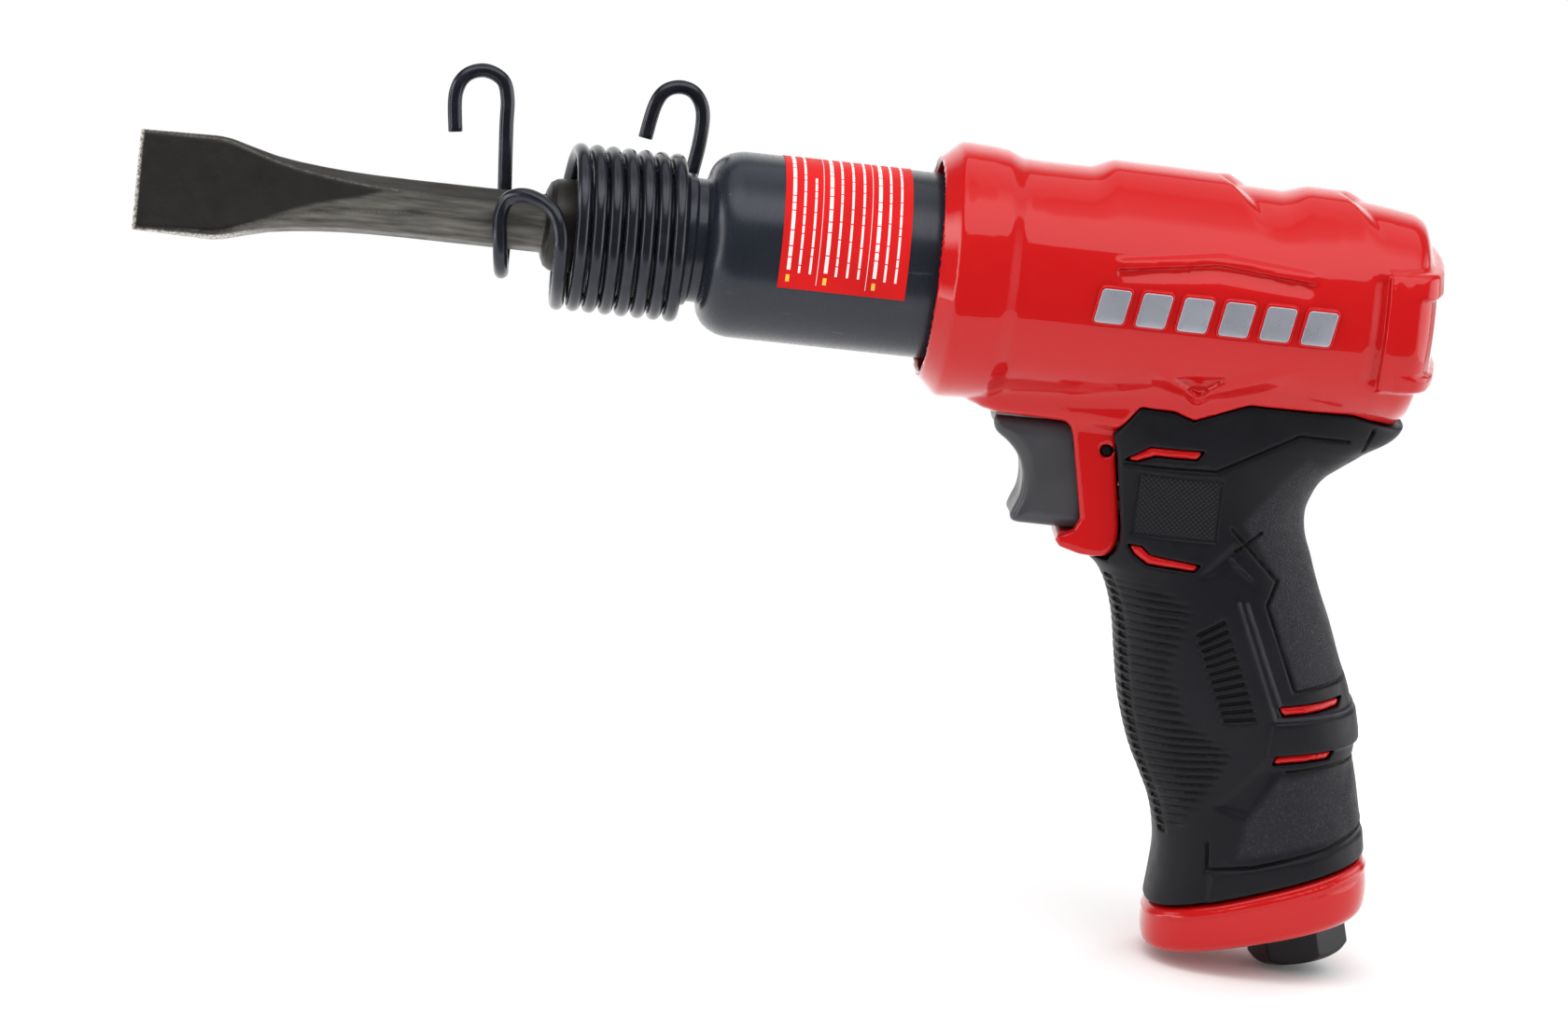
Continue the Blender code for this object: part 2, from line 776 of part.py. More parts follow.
def make_inlet_bushing(slot):
    axis = -inlet_direction()
    neck_end = 26.0
    profile = [
        (0.0, 6.9),
        (0.0, 9.3),
        (1.6, HEX_CIRCUMRADIUS + 0.05),
        (HEX_LENGTH, HEX_CIRCUMRADIUS + 0.05),
        (HEX_LENGTH, BUSHING_NECK_R),
        (17.8, BUSHING_NECK_R),
        (17.8, 6.4),
        (20.4, 6.4),
        (20.4, BUSHING_NECK_R),
        (neck_end - 0.6, BUSHING_NECK_R),
        (neck_end, 7.2),
        (neck_end, 4.6),
        (15.6, 4.6),
        (15.6, 5.4),
        (12.6, 5.6),
        (0.8, 6.3),
    ]
    bushing = lathe("inlet_bushing", profile, 20, INLET_END, axis)
    side, other = frame_along(axis)
    rings = []
    for depth in (-2.0, HEX_LENGTH):
        ring = []
        for index in range(6):
            turn = math.radians(50.0 + 60.0 * index)
            spoke = -side * math.cos(turn) + other * math.sin(turn)
            ring.append(Vector(INLET_END) + axis * depth + spoke * HEX_CIRCUMRADIUS)
        rings.append(ring)
    hexagon = loft("hexagon", rings)
    room = rod("room", on_inlet_axis(HEX_LENGTH - 0.5), on_inlet_axis(40.0), 14.0, 24)
    keep(bushing, join(hexagon, room))
    return finish(bushing, slot, 30.0, INLET_END)


def make_inlet_screen(slot):
    disc = rod("inlet_screen", on_inlet_axis(13.6), on_inlet_axis(14.4), 5.0, 16)
    side, other = frame_along(inlet_direction())
    for index in range(7):
        turn = 2.0 * math.pi * index / 6.0
        reach = 3.1 if index < 6 else 0.0
        spoke = (side * math.cos(turn) + other * math.sin(turn)) * reach
        start = on_inlet_axis(13.0) + spoke
        cut(disc, rod("hole", start, on_inlet_axis(15.0) + spoke, 0.8, 6))
    return finish(disc, slot)


# --------------------------------------------------------- trigger and throttle

TRIGGER_OUTLINE = [
    (TRIGGER_REAR, -53.0),
    (TRIGGER_REAR, -29.6),
    (-91.3, -29.6),
    (-91.6, -31.4),
    (-90.8, -33.6),
    (-87.8, -35.6),
    (-85.4, -38.2),
    (-84.2, -41.3),
    (-83.8, -44.2),
    (-84.1, -47.2),
    (-85.1, -50.2),
    (-85.4, -51.9),
    (-84.8, -52.8),
    (-83.7, -53.0),
]


def make_trigger(slot):
    trigger = prism("trigger", TRIGGER_OUTLINE, TRIGGER_HALF_WIDTH, 1.2)
    join(trigger, box("tongue", (-74.0, -3.6, -37.2), (-64.4, 3.6, -31.0)))
    slot_low = PIN_X - TRIGGER_TRAVEL - 1.5
    slot_high = PIN_X + 1.5
    opening = [
        (slot_low, PIN_Z - 0.7),
        (slot_low + 0.7, PIN_Z - 1.5),
        (slot_high - 0.7, PIN_Z - 1.5),
        (slot_high, PIN_Z - 0.7),
        (slot_high, PIN_Z + 0.7),
        (slot_high - 0.7, PIN_Z + 1.5),
        (slot_low + 0.7, PIN_Z + 1.5),
        (slot_low, PIN_Z + 0.7),
    ]
    cut(trigger, prism("opening", opening, 12.0))
    return finish(trigger, slot, 30.0, (TRIGGER_REAR, 0.0, THROTTLE_Z))


def make_trigger_pin(slot):
    half = POST_HALF_WIDTH - 0.3
    profile = [
        (-half, 0.0),
        (-half, PIN_R - 0.25),
        (0.25 - half, PIN_R),
        (half - 0.25, PIN_R),
        (half, PIN_R - 0.25),
        (half, 0.0),
    ]
    center = (PIN_X, 0.0, PIN_Z)
    pin = lathe("trigger_pin", profile, 16, center, (0, 1, 0))
    return finish(pin, slot, 35.0, center)


def on_throttle_axis(name, profile, segments):
    return lathe(name, profile, segments, (0.0, 0.0, THROTTLE_Z))


def make_throttle(brass, steel, rubber):
    on_axis = (-54.1, 0.0, THROTTLE_Z)
    bushing = on_throttle_axis(
        "throttle_bushing",
        [
            (-61.9, 1.95),
            (-61.9, 5.3),
            (-61.3, 5.9),
            (-59.6, 5.9),
            (-59.6, 4.7),
            (-57.4, 4.7),
            (-57.4, 5.9),
            (-56.9, 5.9),
            (-56.9, 4.6),
            (-55.2, 4.6),
            (-55.2, 5.9),
            (-54.5, 5.9),
            (-54.5, 3.3),
            (-60.2, 3.3),
            (-60.2, 1.95),
        ],
        18,
    )
    for height in (-9.0, 9.0):
        port = (-58.5, 0.0, THROTTLE_Z + height)
        cut(bushing, rod("port", (-58.5, 0.0, THROTTLE_Z), port, 0.9, 8))
    finish(bushing, brass, 35.0)
    ring = torus("throttle_o_ring", (-56.05, 0.0, THROTTLE_Z), 5.4, 0.6)
    finish(ring, rubber, 60.0)
    stem = on_throttle_axis(
        "throttle_stem",
        [
            (-68.3, 0.0),
            (-68.3, 1.2),
            (-67.8, 1.6),
            (-51.2, 1.6),
            (-51.2, 2.6),
            (-50.2, 2.6),
            (-50.2, 1.4),
            (-48.6, 1.2),
            (-48.6, 0.0),
        ],
        12,
    )
    finish(stem, steel, 35.0, on_axis)
    poppet = on_throttle_axis(
        "throttle_poppet",
        [
            (-54.1, 1.8),
            (-54.1, 3.9),
            (-53.3, 4.6),
            (-51.6, 4.6),
            (-51.6, 1.8),
        ],
        16,
    )
    finish(poppet, rubber, 35.0, on_axis)
    turns = 6
    steps = 10
    first, last = -49.4, -40.9
    path = []
    for index in range(turns * steps + 1):
        phase = 2.0 * math.pi * index / steps
        x = first + (last - first) * index / (turns * steps)
        path.append((x, 3.4 * math.cos(phase), THROTTLE_Z + 3.4 * math.sin(phase)))
    spring = tube("throttle_spring", path, 0.45, 4)
    finish(spring, steel, 60.0)
    return stem, poppet


# ---------------------------------------------------------------- valve stack

DOWEL_RADIUS_OUT = 12.2


def make_valve(steel, block_slot, rubber):
    block = lathe(
        "valve_block",
        [
            (-49.1, 3.6),
            (-49.1, 14.3),
            (-48.3, 15.1),
            (-38.2, 15.1),
            (-38.2, 9.5),
            (-40.1, 9.5),
            (-40.1, 6.6),
            (-41.3, 6.6),
            (-41.3, 3.6),
        ],
        20,
    )
    cap = lathe(
        "valve_cap",
        [
            (-37.9, 9.5),
            (-37.9, 15.1),
            (-29.0, 15.1),
            (-28.2, 14.3),
            (-28.2, 3.0),
            (-36.9, 3.0),
            (-36.9, 9.5),
        ],
        20,
    )
    for index in range(4):
        turn = math.radians(45.0 + 90.0 * index)
        y, z = 6.6 * math.cos(turn), 6.6 * math.sin(turn)
        cut(cap, rod("port", (-38.5, y, z), (-27.0, y, z), 1.5, 6))
    for body in (block, cap):
        z = DOWEL_RADIUS_OUT
        cut(body, rod("dowel_hole", (-45.0, 0, z), (-31.6, 0, z), 1.5, 8))
    finish(block, block_slot)
    finish(cap, block_slot)
    disc = rod("valve_disc", (-39.8, 0, 0), (-38.3, 0, 0), 9.1, 24)
    finish(disc, steel)
    dowel = rod(
        "valve_dowel",
        (-44.7, 0, DOWEL_RADIUS_OUT),
        (-31.9, 0, DOWEL_RADIUS_OUT),
        1.2,
        10,
    )
    finish(dowel, steel)
    gasket = lathe(
        "rear_gasket",
        [(-27.9, 9.0), (-27.9, 15.0), (-26.4, 15.0), (-26.4, 9.0)],
        20,
    )
    finish(gasket, rubber)


def make_badge(slot, name, sign):
    """A raised row of plain slanted bars on a thin backing strip."""
    inner = HOUSING_HALF_WIDTH + 0.2
    strip = box(name, (BADGE_FRONT, inner, -2.7), (BADGE_REAR, inner + 0.35, 5.8))
    pitch = (BADGE_REAR - BADGE_FRONT) / BADGE_BARS
    lean = 1.2
    for index in range(BADGE_BARS):
        left = BADGE_FRONT + 0.5 + pitch * index
        right = left + pitch - lean - 1.4
        bar = [(left, -2.2), (right, -2.2), (right + lean, 5.3), (left + lean, 5.3)]
        join(strip, prism("bar", bar, 0.4, center_y=inner + 0.6))
    if sign < 0:
        strip.data.transform(Matrix.Scale(-1.0, 4, (0.0, 1.0, 0.0)))
        strip.data.flip_normals()
    return finish(strip, slot)


def make_inlet_o_ring(slot):
    ring = torus(
        "inlet_o_ring", on_inlet_axis(19.1), 7.4, 0.7, inlet_direction()
    )
    return finish(ring, slot, 60.0)


def main():
    clear_scene()
    red = material("housing_red", (0.60, 0.012, 0.010), 0.0, 0.28)
    cap_red = material("cap_red", (0.58, 0.014, 0.012), 0.0, 0.30)
    rubber = material("grip_rubber", (0.018, 0.019, 0.022), 0.0, 0.62)
    black = material("barrel_black", (0.030, 0.033, 0.038), 0.9, 0.42)
    spring_black = material("wire_black", (0.028, 0.030, 0.036), 0.9, 0.36)
    pin_black = material("pin_black", (0.012, 0.012, 0.013), 0.8, 0.45)
    steel = material("chisel_steel", (0.075, 0.072, 0.068), 0.95, 0.45)
    trigger_gray = material("trigger_gray", (0.075, 0.076, 0.082), 0.0, 0.42)
    label_red = material("label_red", (0.62, 0.025, 0.018), 0.0, 0.45)
    badge_silver = material("badge_silver", (0.56, 0.57, 0.60), 0.7, 0.35)
    inlet_black = material("inlet_black", (0.020, 0.020, 0.023), 0.6, 0.48)
    bright = material("bright_steel", (0.55, 0.55, 0.56), 1.0, 0.30)
    gray = material("valve_gray", (0.16, 0.165, 0.17), 0.9, 0.42)
    brass = material("brass", (0.60, 0.42, 0.16), 1.0, 0.35)
    seal = material("seal_rubber", (0.014, 0.014, 0.015), 0.0, 0.70)

    chisel = make_chisel(steel)
    retainer = make_retainer(spring_black)
    make_barrel(black)
    make_label(label_red)
    make_barrel_seal(seal)
    make_piston(bright)
    make_housing(red)
    make_grip(rubber)
    make_base_cap(cap_red)
    make_inlet_bushing(inlet_black)
    make_inlet_screen(bright)
    make_inlet_o_ring(seal)
    trigger = make_trigger(trigger_gray)
    make_trigger_pin(pin_black)
    stem, poppet = make_throttle(brass, bright, seal)
    make_valve(bright, gray, seal)
    make_badge(badge_silver, "badge_near", -1.0)
    make_badge(badge_silver, "badge_far", 1.0)
    attach(retainer, chisel)
    attach(trigger, stem, poppet)
    root = bpy.data.objects.new("air_hammer", None)
    bpy.context.scene.collection.objects.link(root)
    attach(root, *[found for found in bpy.data.objects if not found.parent and found != root])


main()
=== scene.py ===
"""Looks of the pneumatic air hammer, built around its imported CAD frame.

Shapes are worked out in millimetres, in the frame's own axes. The moulded shells are
distance fields: a function gives the distance from a point to the surface, negative
inside, and skin() lays a closed mesh on the place where it is zero.
"""

import math
import random

import bmesh
import bpy
import numpy as np
from mathutils import Matrix, Vector


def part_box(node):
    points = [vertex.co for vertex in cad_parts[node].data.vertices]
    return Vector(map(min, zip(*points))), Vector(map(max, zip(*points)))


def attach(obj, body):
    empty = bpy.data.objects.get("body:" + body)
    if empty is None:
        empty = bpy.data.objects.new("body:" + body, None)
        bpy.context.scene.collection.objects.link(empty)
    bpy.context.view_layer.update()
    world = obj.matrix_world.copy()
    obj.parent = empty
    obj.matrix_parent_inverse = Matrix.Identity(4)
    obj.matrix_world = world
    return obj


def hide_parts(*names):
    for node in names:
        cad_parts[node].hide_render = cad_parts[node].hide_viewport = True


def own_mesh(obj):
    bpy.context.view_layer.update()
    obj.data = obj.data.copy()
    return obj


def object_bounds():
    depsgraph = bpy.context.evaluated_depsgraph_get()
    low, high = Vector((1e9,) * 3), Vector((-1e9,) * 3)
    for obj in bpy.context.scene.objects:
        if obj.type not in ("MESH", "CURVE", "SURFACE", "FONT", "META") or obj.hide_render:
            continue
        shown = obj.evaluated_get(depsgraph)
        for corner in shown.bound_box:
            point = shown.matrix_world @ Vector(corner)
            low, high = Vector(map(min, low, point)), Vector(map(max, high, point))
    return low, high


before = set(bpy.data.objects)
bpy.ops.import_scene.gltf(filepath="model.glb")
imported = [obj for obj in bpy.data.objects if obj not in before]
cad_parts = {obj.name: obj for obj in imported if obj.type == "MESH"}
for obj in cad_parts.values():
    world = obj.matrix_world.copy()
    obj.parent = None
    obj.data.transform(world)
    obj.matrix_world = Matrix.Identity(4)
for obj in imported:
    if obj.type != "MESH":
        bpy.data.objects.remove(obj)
CAD_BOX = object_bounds()

MM = 0.001
GAP = 0.3


def corners(node):
    """Lowest and highest corner of a CAD node in millimetres."""
    low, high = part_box(node)
    return [value / MM for value in low], [value / MM for value in high]


# Driving dimensions, read from the frame
BARREL_LOW, BARREL_HIGH = corners("barrel")
BARREL_R = BARREL_HIGH[2]
NOSE_FRONT = BARREL_LOW[0]
BARREL_REAR = BARREL_HIGH[0]
HOUSING_LOW, HOUSING_HIGH = corners("housing")
MOUTH_X = HOUSING_LOW[0]
CHISEL_LOW, CHISEL_HIGH = corners("chisel")
TIP_X = CHISEL_LOW[0]
SHANK_END = CHISEL_HIGH[0]
TRIGGER_HIGH = corners("trigger")[1]
PIN_LOW, PIN_HIGH = corners("trigger_pin")
PIN_X = (PIN_LOW[0] + PIN_HIGH[0]) / 2.0
PIN_Z = (PIN_LOW[2] + PIN_HIGH[2]) / 2.0
BADGE_LOW, BADGE_HIGH = corners("badge_far")
LABEL_LOW, LABEL_HIGH = corners("barrel_label")

# Dimensions that the boxes don't hold
NOSE_R = 13.8
MOUTH_R = 22.8
MOUTH_DEPTH = 17.7
THREAD_R = 17.3
CHAMBER_R = 15.4
CHAMBER_REAR = -26.0
POST_HALF = 11.0
CHISEL_TURN = math.radians(26.0)
RETAINER_TURN = math.radians(14.0)
WIRE_R = 1.55
COIL_R = 16.5
COIL_TURNS = 7
COIL_FRONT = -188.2
COIL_REAR = -163.8
INLET_TILT = math.radians(15.0)
INLET_END = Vector((-9.7, 0.0, -143.3))
HEX_FLAT = 9.45


# ---- distance tools


def smooth_max(first, second, reach):
    """The larger value, rounded off where the two differ by less than reach."""
    blend = np.maximum(reach - np.abs(first - second), 0.0) / reach
    return np.maximum(first, second) + blend * blend * reach / 4.0


def smooth_min(first, second, reach):
    return -smooth_max(-first, -second, reach)


def ramp(value, low, high):
    """Rises smoothly from 0 at low to 1 at high."""
    share = np.clip((value - low) / (high - low), 0.0, 1.0)
    return share * share * (3.0 - 2.0 * share)


def to_segment(x, z, start, end):
    """Distance to a segment in (x, z), and how far along it the nearest point is."""
    dx, dz = end[0] - start[0], end[1] - start[1]
    share = ((x - start[0]) * dx + (z - start[1]) * dz) / (dx * dx + dz * dz)
    share = np.clip(share, 0.0, 1.0)
    return np.hypot(x - start[0] - dx * share, z - start[1] - dz * share), share


def to_line(x, z, line):
    best = np.inf
    for start, end in zip(line, line[1:]):
        best = np.minimum(best, to_segment(x, z, start, end)[0])
    return best


def to_outline(x, z, outline):
    """Distance to a closed outline in (x, z), negative inside."""
    inside = False
    for start, end in zip(outline, outline[1:] + outline[:1]):
        if start[1] != end[1]:
            crosses = (start[1] <= z) != (end[1] <= z)
            slope = (end[0] - start[0]) / (end[1] - start[1])
            inside = inside ^ (crosses & (x < start[0] + slope * (z - start[1])))
    best = to_line(x, z, outline + outline[:1])
    return np.where(inside, -best, best)


def plateau(value, rise, full, fall, gone):
    """1 from full to fall, fading to 0 at rise and at gone."""
    return ramp(value, rise, full) * (1.0 - ramp(value, fall, gone))


def box_outline(left, right, low, high):
    return [(left, low), (right, low), (right, high), (left, high)]


def groove(x, z, line, half_width):
    """1 in the middle of a line, 0 from half_width away."""
    return 1.0 - ramp(to_line(x, z, line), 0.25 * half_width, half_width)


def tapered(x, z, start, end, half_width):
    """Like groove, for one segment that dies out towards its start."""
    distance, share = to_segment(x, z, start, end)
    return (1.0 - ramp(distance, 0.0, half_width)) * ramp(share, 0.0, 0.5)


def panel(x, z, outline, edge):
    """1 inside an outline, with a soft edge."""
    return ramp(-to_outline(x, z, outline), -edge / 2.0, edge / 2.0)


def curve_through(knots, steps):
    """Catmull-Rom points through the knots, as rows of an array."""
    rows = np.array(knots, float)
    padded = np.vstack([rows[:1], rows, rows[-1:]])
    share = (np.arange(steps) / steps)[:, None]
    made = []
    for p0, p1, p2, p3 in zip(padded, padded[1:], padded[2:], padded[3:]):
        bend = 2.0 * p0 - 5.0 * p1 + 4.0 * p2 - p3
        twist = 3.0 * p1 - p0 - 3.0 * p2 + p3
        spots = 2.0 * p1 + (p2 - p0) * share + bend * share**2 + twist * share**3
        made.append(0.5 * spots)
    return np.vstack(made + [rows[-1:]])


TABLE_STEP = 0.1
TABLE_MARGIN = 6.0


def blurred_table(stations, width):
    """Dense straight-line interpolation over the first column, softened at corners."""
    rows = np.array(stations, float)
    at = np.arange(rows[0, 0] - TABLE_MARGIN, rows[-1, 0] + TABLE_MARGIN, TABLE_STEP)
    kernel = np.hanning(int(width / TABLE_STEP) | 1)
    kernel = kernel / kernel.sum()
    columns = []
    for column in rows.T[1:]:
        dense = np.interp(at, rows[:, 0], column)
        padded = np.pad(dense, len(kernel) // 2, mode="edge")
        columns.append(np.convolve(padded, kernel, mode="valid"))
    return at, columns


# ---- meshing


def mesh_piece(name, points, faces):
    """A smooth-shaded mesh object from arrays. Points are millimetres."""
    mesh = bpy.data.meshes.new(name)
    mesh.vertices.add(len(points))
    mesh.vertices.foreach_set("co", (np.asarray(points, float) * MM).ravel())
    mesh.loops.add(faces.size)
    mesh.loops.foreach_set("vertex_index", faces.astype(np.int32).ravel())
    mesh.polygons.add(len(faces))
    starts = np.arange(0, faces.size, faces.shape[1], dtype=np.int32)
    mesh.polygons.foreach_set("loop_start", starts)
    mesh.update(calc_edges=True)
    mesh.shade_smooth()
    piece = bpy.data.objects.new(name, mesh)
    bpy.context.scene.collection.objects.link(piece)
    return piece


MOST_TRIANGLES = 198000
SETTLE_ROUNDS = 2
SLOPE_STEP = 0.02
LEAST_SLOPE = 0.2
CUBE = np.array([(i, j, k) for i in (0, 1) for j in (0, 1) for k in (0, 1)])


def net_points(value, cells):
    """The mean place, in cell units, where the surface crosses each cell's edges."""
    total = np.zeros(cells.shape)
    hits = np.zeros(len(cells))
    for start in CUBE:
        for axis in range(3):
            if start[axis]:
                continue
            end = start.copy()
            end[axis] = 1
            first = value[tuple((cells + start).T)].astype(float)
            second = value[tuple((cells + end).T)].astype(float)
            crossing = (first < 0.0) != (second < 0.0)
            share = np.where(crossing, first / (first - second + (~crossing)), 0.0)
            spot = start + (end - start) * share[:, None]
            total += spot * crossing[:, None]
            hits += crossing
    return cells + total / hits[:, None]


def net_faces(inside, number):
    """One quad round every grid edge that the surface crosses, facing outwards."""
    quads = []
    for axis in range(3):
        second, third = (axis + 1) % 3, (axis + 2) % 3
        low = np.moveaxis(inside, axis, 0)[:-1]
        high = np.moveaxis(inside, axis, 0)[1:]
        found = np.argwhere(low != high)
        leaving = low[tuple(found.T)]
        order = [axis] + [other for other in range(3) if other != axis]
        spot = np.empty_like(found)
        spot[:, order] = found
        ring = []
        for a, b in ((1, 1), (0, 1), (0, 0), (1, 0)):
            cell = spot.copy()
            cell[:, second] -= a
            cell[:, third] -= b
            ring.append(number[tuple(cell.T)])
        ring = np.stack(ring, axis=1)
        quads.append(np.where(leaving[:, None], ring, ring[:, ::-1]))
    return np.vstack(quads)


def settle(field, points, step):
    """Moves the points onto the zero of the field along its slope."""
    for _ in range(SETTLE_ROUNDS):
        here = field(*points.T)
        slope = np.empty_like(points)
        for axis in range(3):
            moved = points.copy()
            moved[:, axis] += SLOPE_STEP
            slope[:, axis] = (field(*moved.T) - here) / SLOPE_STEP
        size = np.maximum((slope * slope).sum(axis=1), LEAST_SLOPE)
        shift = slope * (here / size)[:, None]
        points = points - np.clip(shift, -0.5 * step, 0.5 * step)
    return points


def skin(name, field, low, high, step):
    """A closed mesh where field(x, y, z) is zero."""
    axes = [np.arange(a - 2.0 * step, b + 2.0 * step, step) for a, b in zip(low, high)]
    grid = (axes[0][:, None, None], axes[1][None, :, None], axes[2][None, None, :])
    value = field(*grid).astype(np.float32)
    inside = value < 0.0
    sizes = np.array(inside.shape) - 1
    count = np.zeros(sizes, np.int8)
    for i, j, k in CUBE:
        count += inside[i : i + sizes[0], j : j + sizes[1], k : k + sizes[2]]
    active = (count > 0) & (count < 8)
    cells = np.argwhere(active)
    number = np.full(active.shape, -1, np.int32)
    number[active] = np.arange(len(cells))
    origin = np.array([axis[0] for axis in axes])
    points = net_points(value, cells) * step + origin
    points = settle(field, points, step)
    return mesh_piece(name, points, net_faces(inside, number))


def thin(piece, most):
    """Takes points out of the flatter places until at most this many triangles stay."""
    modifier = piece.modifiers.new("thin", "DECIMATE")
    modifier.ratio = most / (2.0 * len(piece.data.polygons))
    ready = piece.evaluated_get(bpy.context.evaluated_depsgraph_get())
    mesh = bpy.data.meshes.new_from_object(ready)
    piece.modifiers.clear()
    piece.data = mesh


def places(piece):
    """The piece's points as rows, in millimetres."""
    rows = np.empty(len(piece.data.vertices) * 3)
    piece.data.vertices.foreach_get("co", rows)
    return rows.reshape(-1, 3) / MM


def point_values(piece, name, function):
    """Stores function(x, y, z) in millimetres on the piece's points."""
    stored = piece.data.attributes.new(name, "FLOAT", "POINT")
    stored.data.foreach_set("value", function(*places(piece).T).astype(np.float32))


def transform_points(piece, change):
    """Replaces the piece's points with change(points), in millimetres."""
    piece.data.vertices.foreach_set("co", (change(places(piece)) * MM).ravel())
    piece.data.update()


def grid_faces(rows, columns, closed_rows, closed_columns):
    """Quads of a grid of points that lies row after row."""
    row = np.arange(rows if closed_rows else rows - 1)
    column = np.arange(columns if closed_columns else columns - 1)
    row, column = [part.ravel() for part in np.meshgrid(row, column, indexing="ij")]
    below, after = (row + 1) % rows, (column + 1) % columns
    ring = [(row, column), (row, after), (below, after), (below, column)]
    return np.stack([down * columns + across for down, across in ring], axis=1)


def turned(name, profile, segments):
    """A ring turned round X through a closed profile of (x, radius)."""
    angle = 2.0 * math.pi * np.arange(segments) / segments
    x, radius = np.array(profile, float).T[:, :, None]
    rings = [x + 0.0 * angle, -radius * np.sin(angle), radius * np.cos(angle)]
    points = np.stack(rings, axis=-1).reshape(-1, 3)
    return mesh_piece(name, points, grid_faces(len(profile), segments, True, True)[:, ::-1])


MOST_OF_EDGE = 0.45


def rounded(profile, radius, steps):
    """The closed profile with every corner replaced by an arc-like curve."""
    rows = np.array(profile, float)
    made = []
    for index, corner in enumerate(rows):
        before = rows[index - 1] - corner
        after = rows[(index + 1) % len(rows)] - corner
        back = min(radius / np.hypot(*before), MOST_OF_EDGE)
        ahead = min(radius / np.hypot(*after), MOST_OF_EDGE)
        start, end = corner + before * back, corner + after * ahead
        for t in np.linspace(0.0, 1.0, steps):
            spot = start * (1 - t) ** 2 + corner * 2 * t * (1 - t) + end * t * t
            made.append(tuple(spot))
    return made


def sharpen(piece, degrees):
    piece.data.set_sharp_from_angle(angle=math.radians(degrees))
    return piece


# A wire's end: how far each ring lies beyond it, and its share of the full ring
END_STEPS = [(0.14, 0.95), (0.22, 0.86), (0.24, 0.4), (0.24, 0.004)]
FIRST_SIDEWAYS = (0.31, 0.95, 0.05)


def swept(name, path, radius, sides):
    """A round wire along a path, with slightly rounded ends."""
    spots = np.array(path, float)
    tangent = np.gradient(spots, axis=0)
    tangent /= np.linalg.norm(tangent, axis=1)[:, None]
    normal = np.cross(tangent[0], FIRST_SIDEWAYS)
    angle = 2.0 * math.pi * np.arange(sides) / sides
    rings = []
    for spot, forward in zip(spots, tangent):
        normal = normal - forward * normal.dot(forward)
        normal /= np.linalg.norm(normal)
        other = np.cross(forward, normal)
        spokes = np.outer(np.cos(angle), normal) + np.outer(np.sin(angle), other)
        rings.append(spot + radius * spokes)
    ends = []
    for end, sign in ((0, -1.0), (-1, 1.0)):
        spot, forward = spots[end], sign * tangent[end]
        ends.append([spot + forward * lift + (rings[end] - spot) * share for lift, share in END_STEPS])
    rows = ends[0][::-1] + rings + ends[1]
    return mesh_piece(name, np.vstack(rows), grid_faces(len(rows), sides, False, True)[:, ::-1])


# ---- materials


class Nodes:
    """Adds nodes to a tree, one call at a time."""

    def __init__(self, tree):
        self.tree = tree

    def feed(self, value, socket):
        """Links an output to the socket, or sets the socket to a plain value."""
        if isinstance(value, bpy.types.NodeSocket):
            self.tree.links.new(value, socket)
        else:
            socket.default_value = value

    def node(self, kind, feeds=(), **settings):
        made = self.tree.nodes.new(kind)
        for name, value in settings.items():
            setattr(made, name, value)
        for name, value in dict(feeds).items():
            self.feed(value, made.inputs[name])
        return made

    def math(self, operation, first, second):
        return self.node("ShaderNodeMath", {0: first, 1: second}, operation=operation).outputs["Value"]

    def band(self, source, low, high, to_low=0.0, to_high=1.0):
        """Maps source from low..high to to_low..to_high."""
        feeds = {"Value": source, "From Min": low, "From Max": high, "To Min": to_low, "To Max": to_high}
        return self.node("ShaderNodeMapRange", feeds).outputs["Result"]


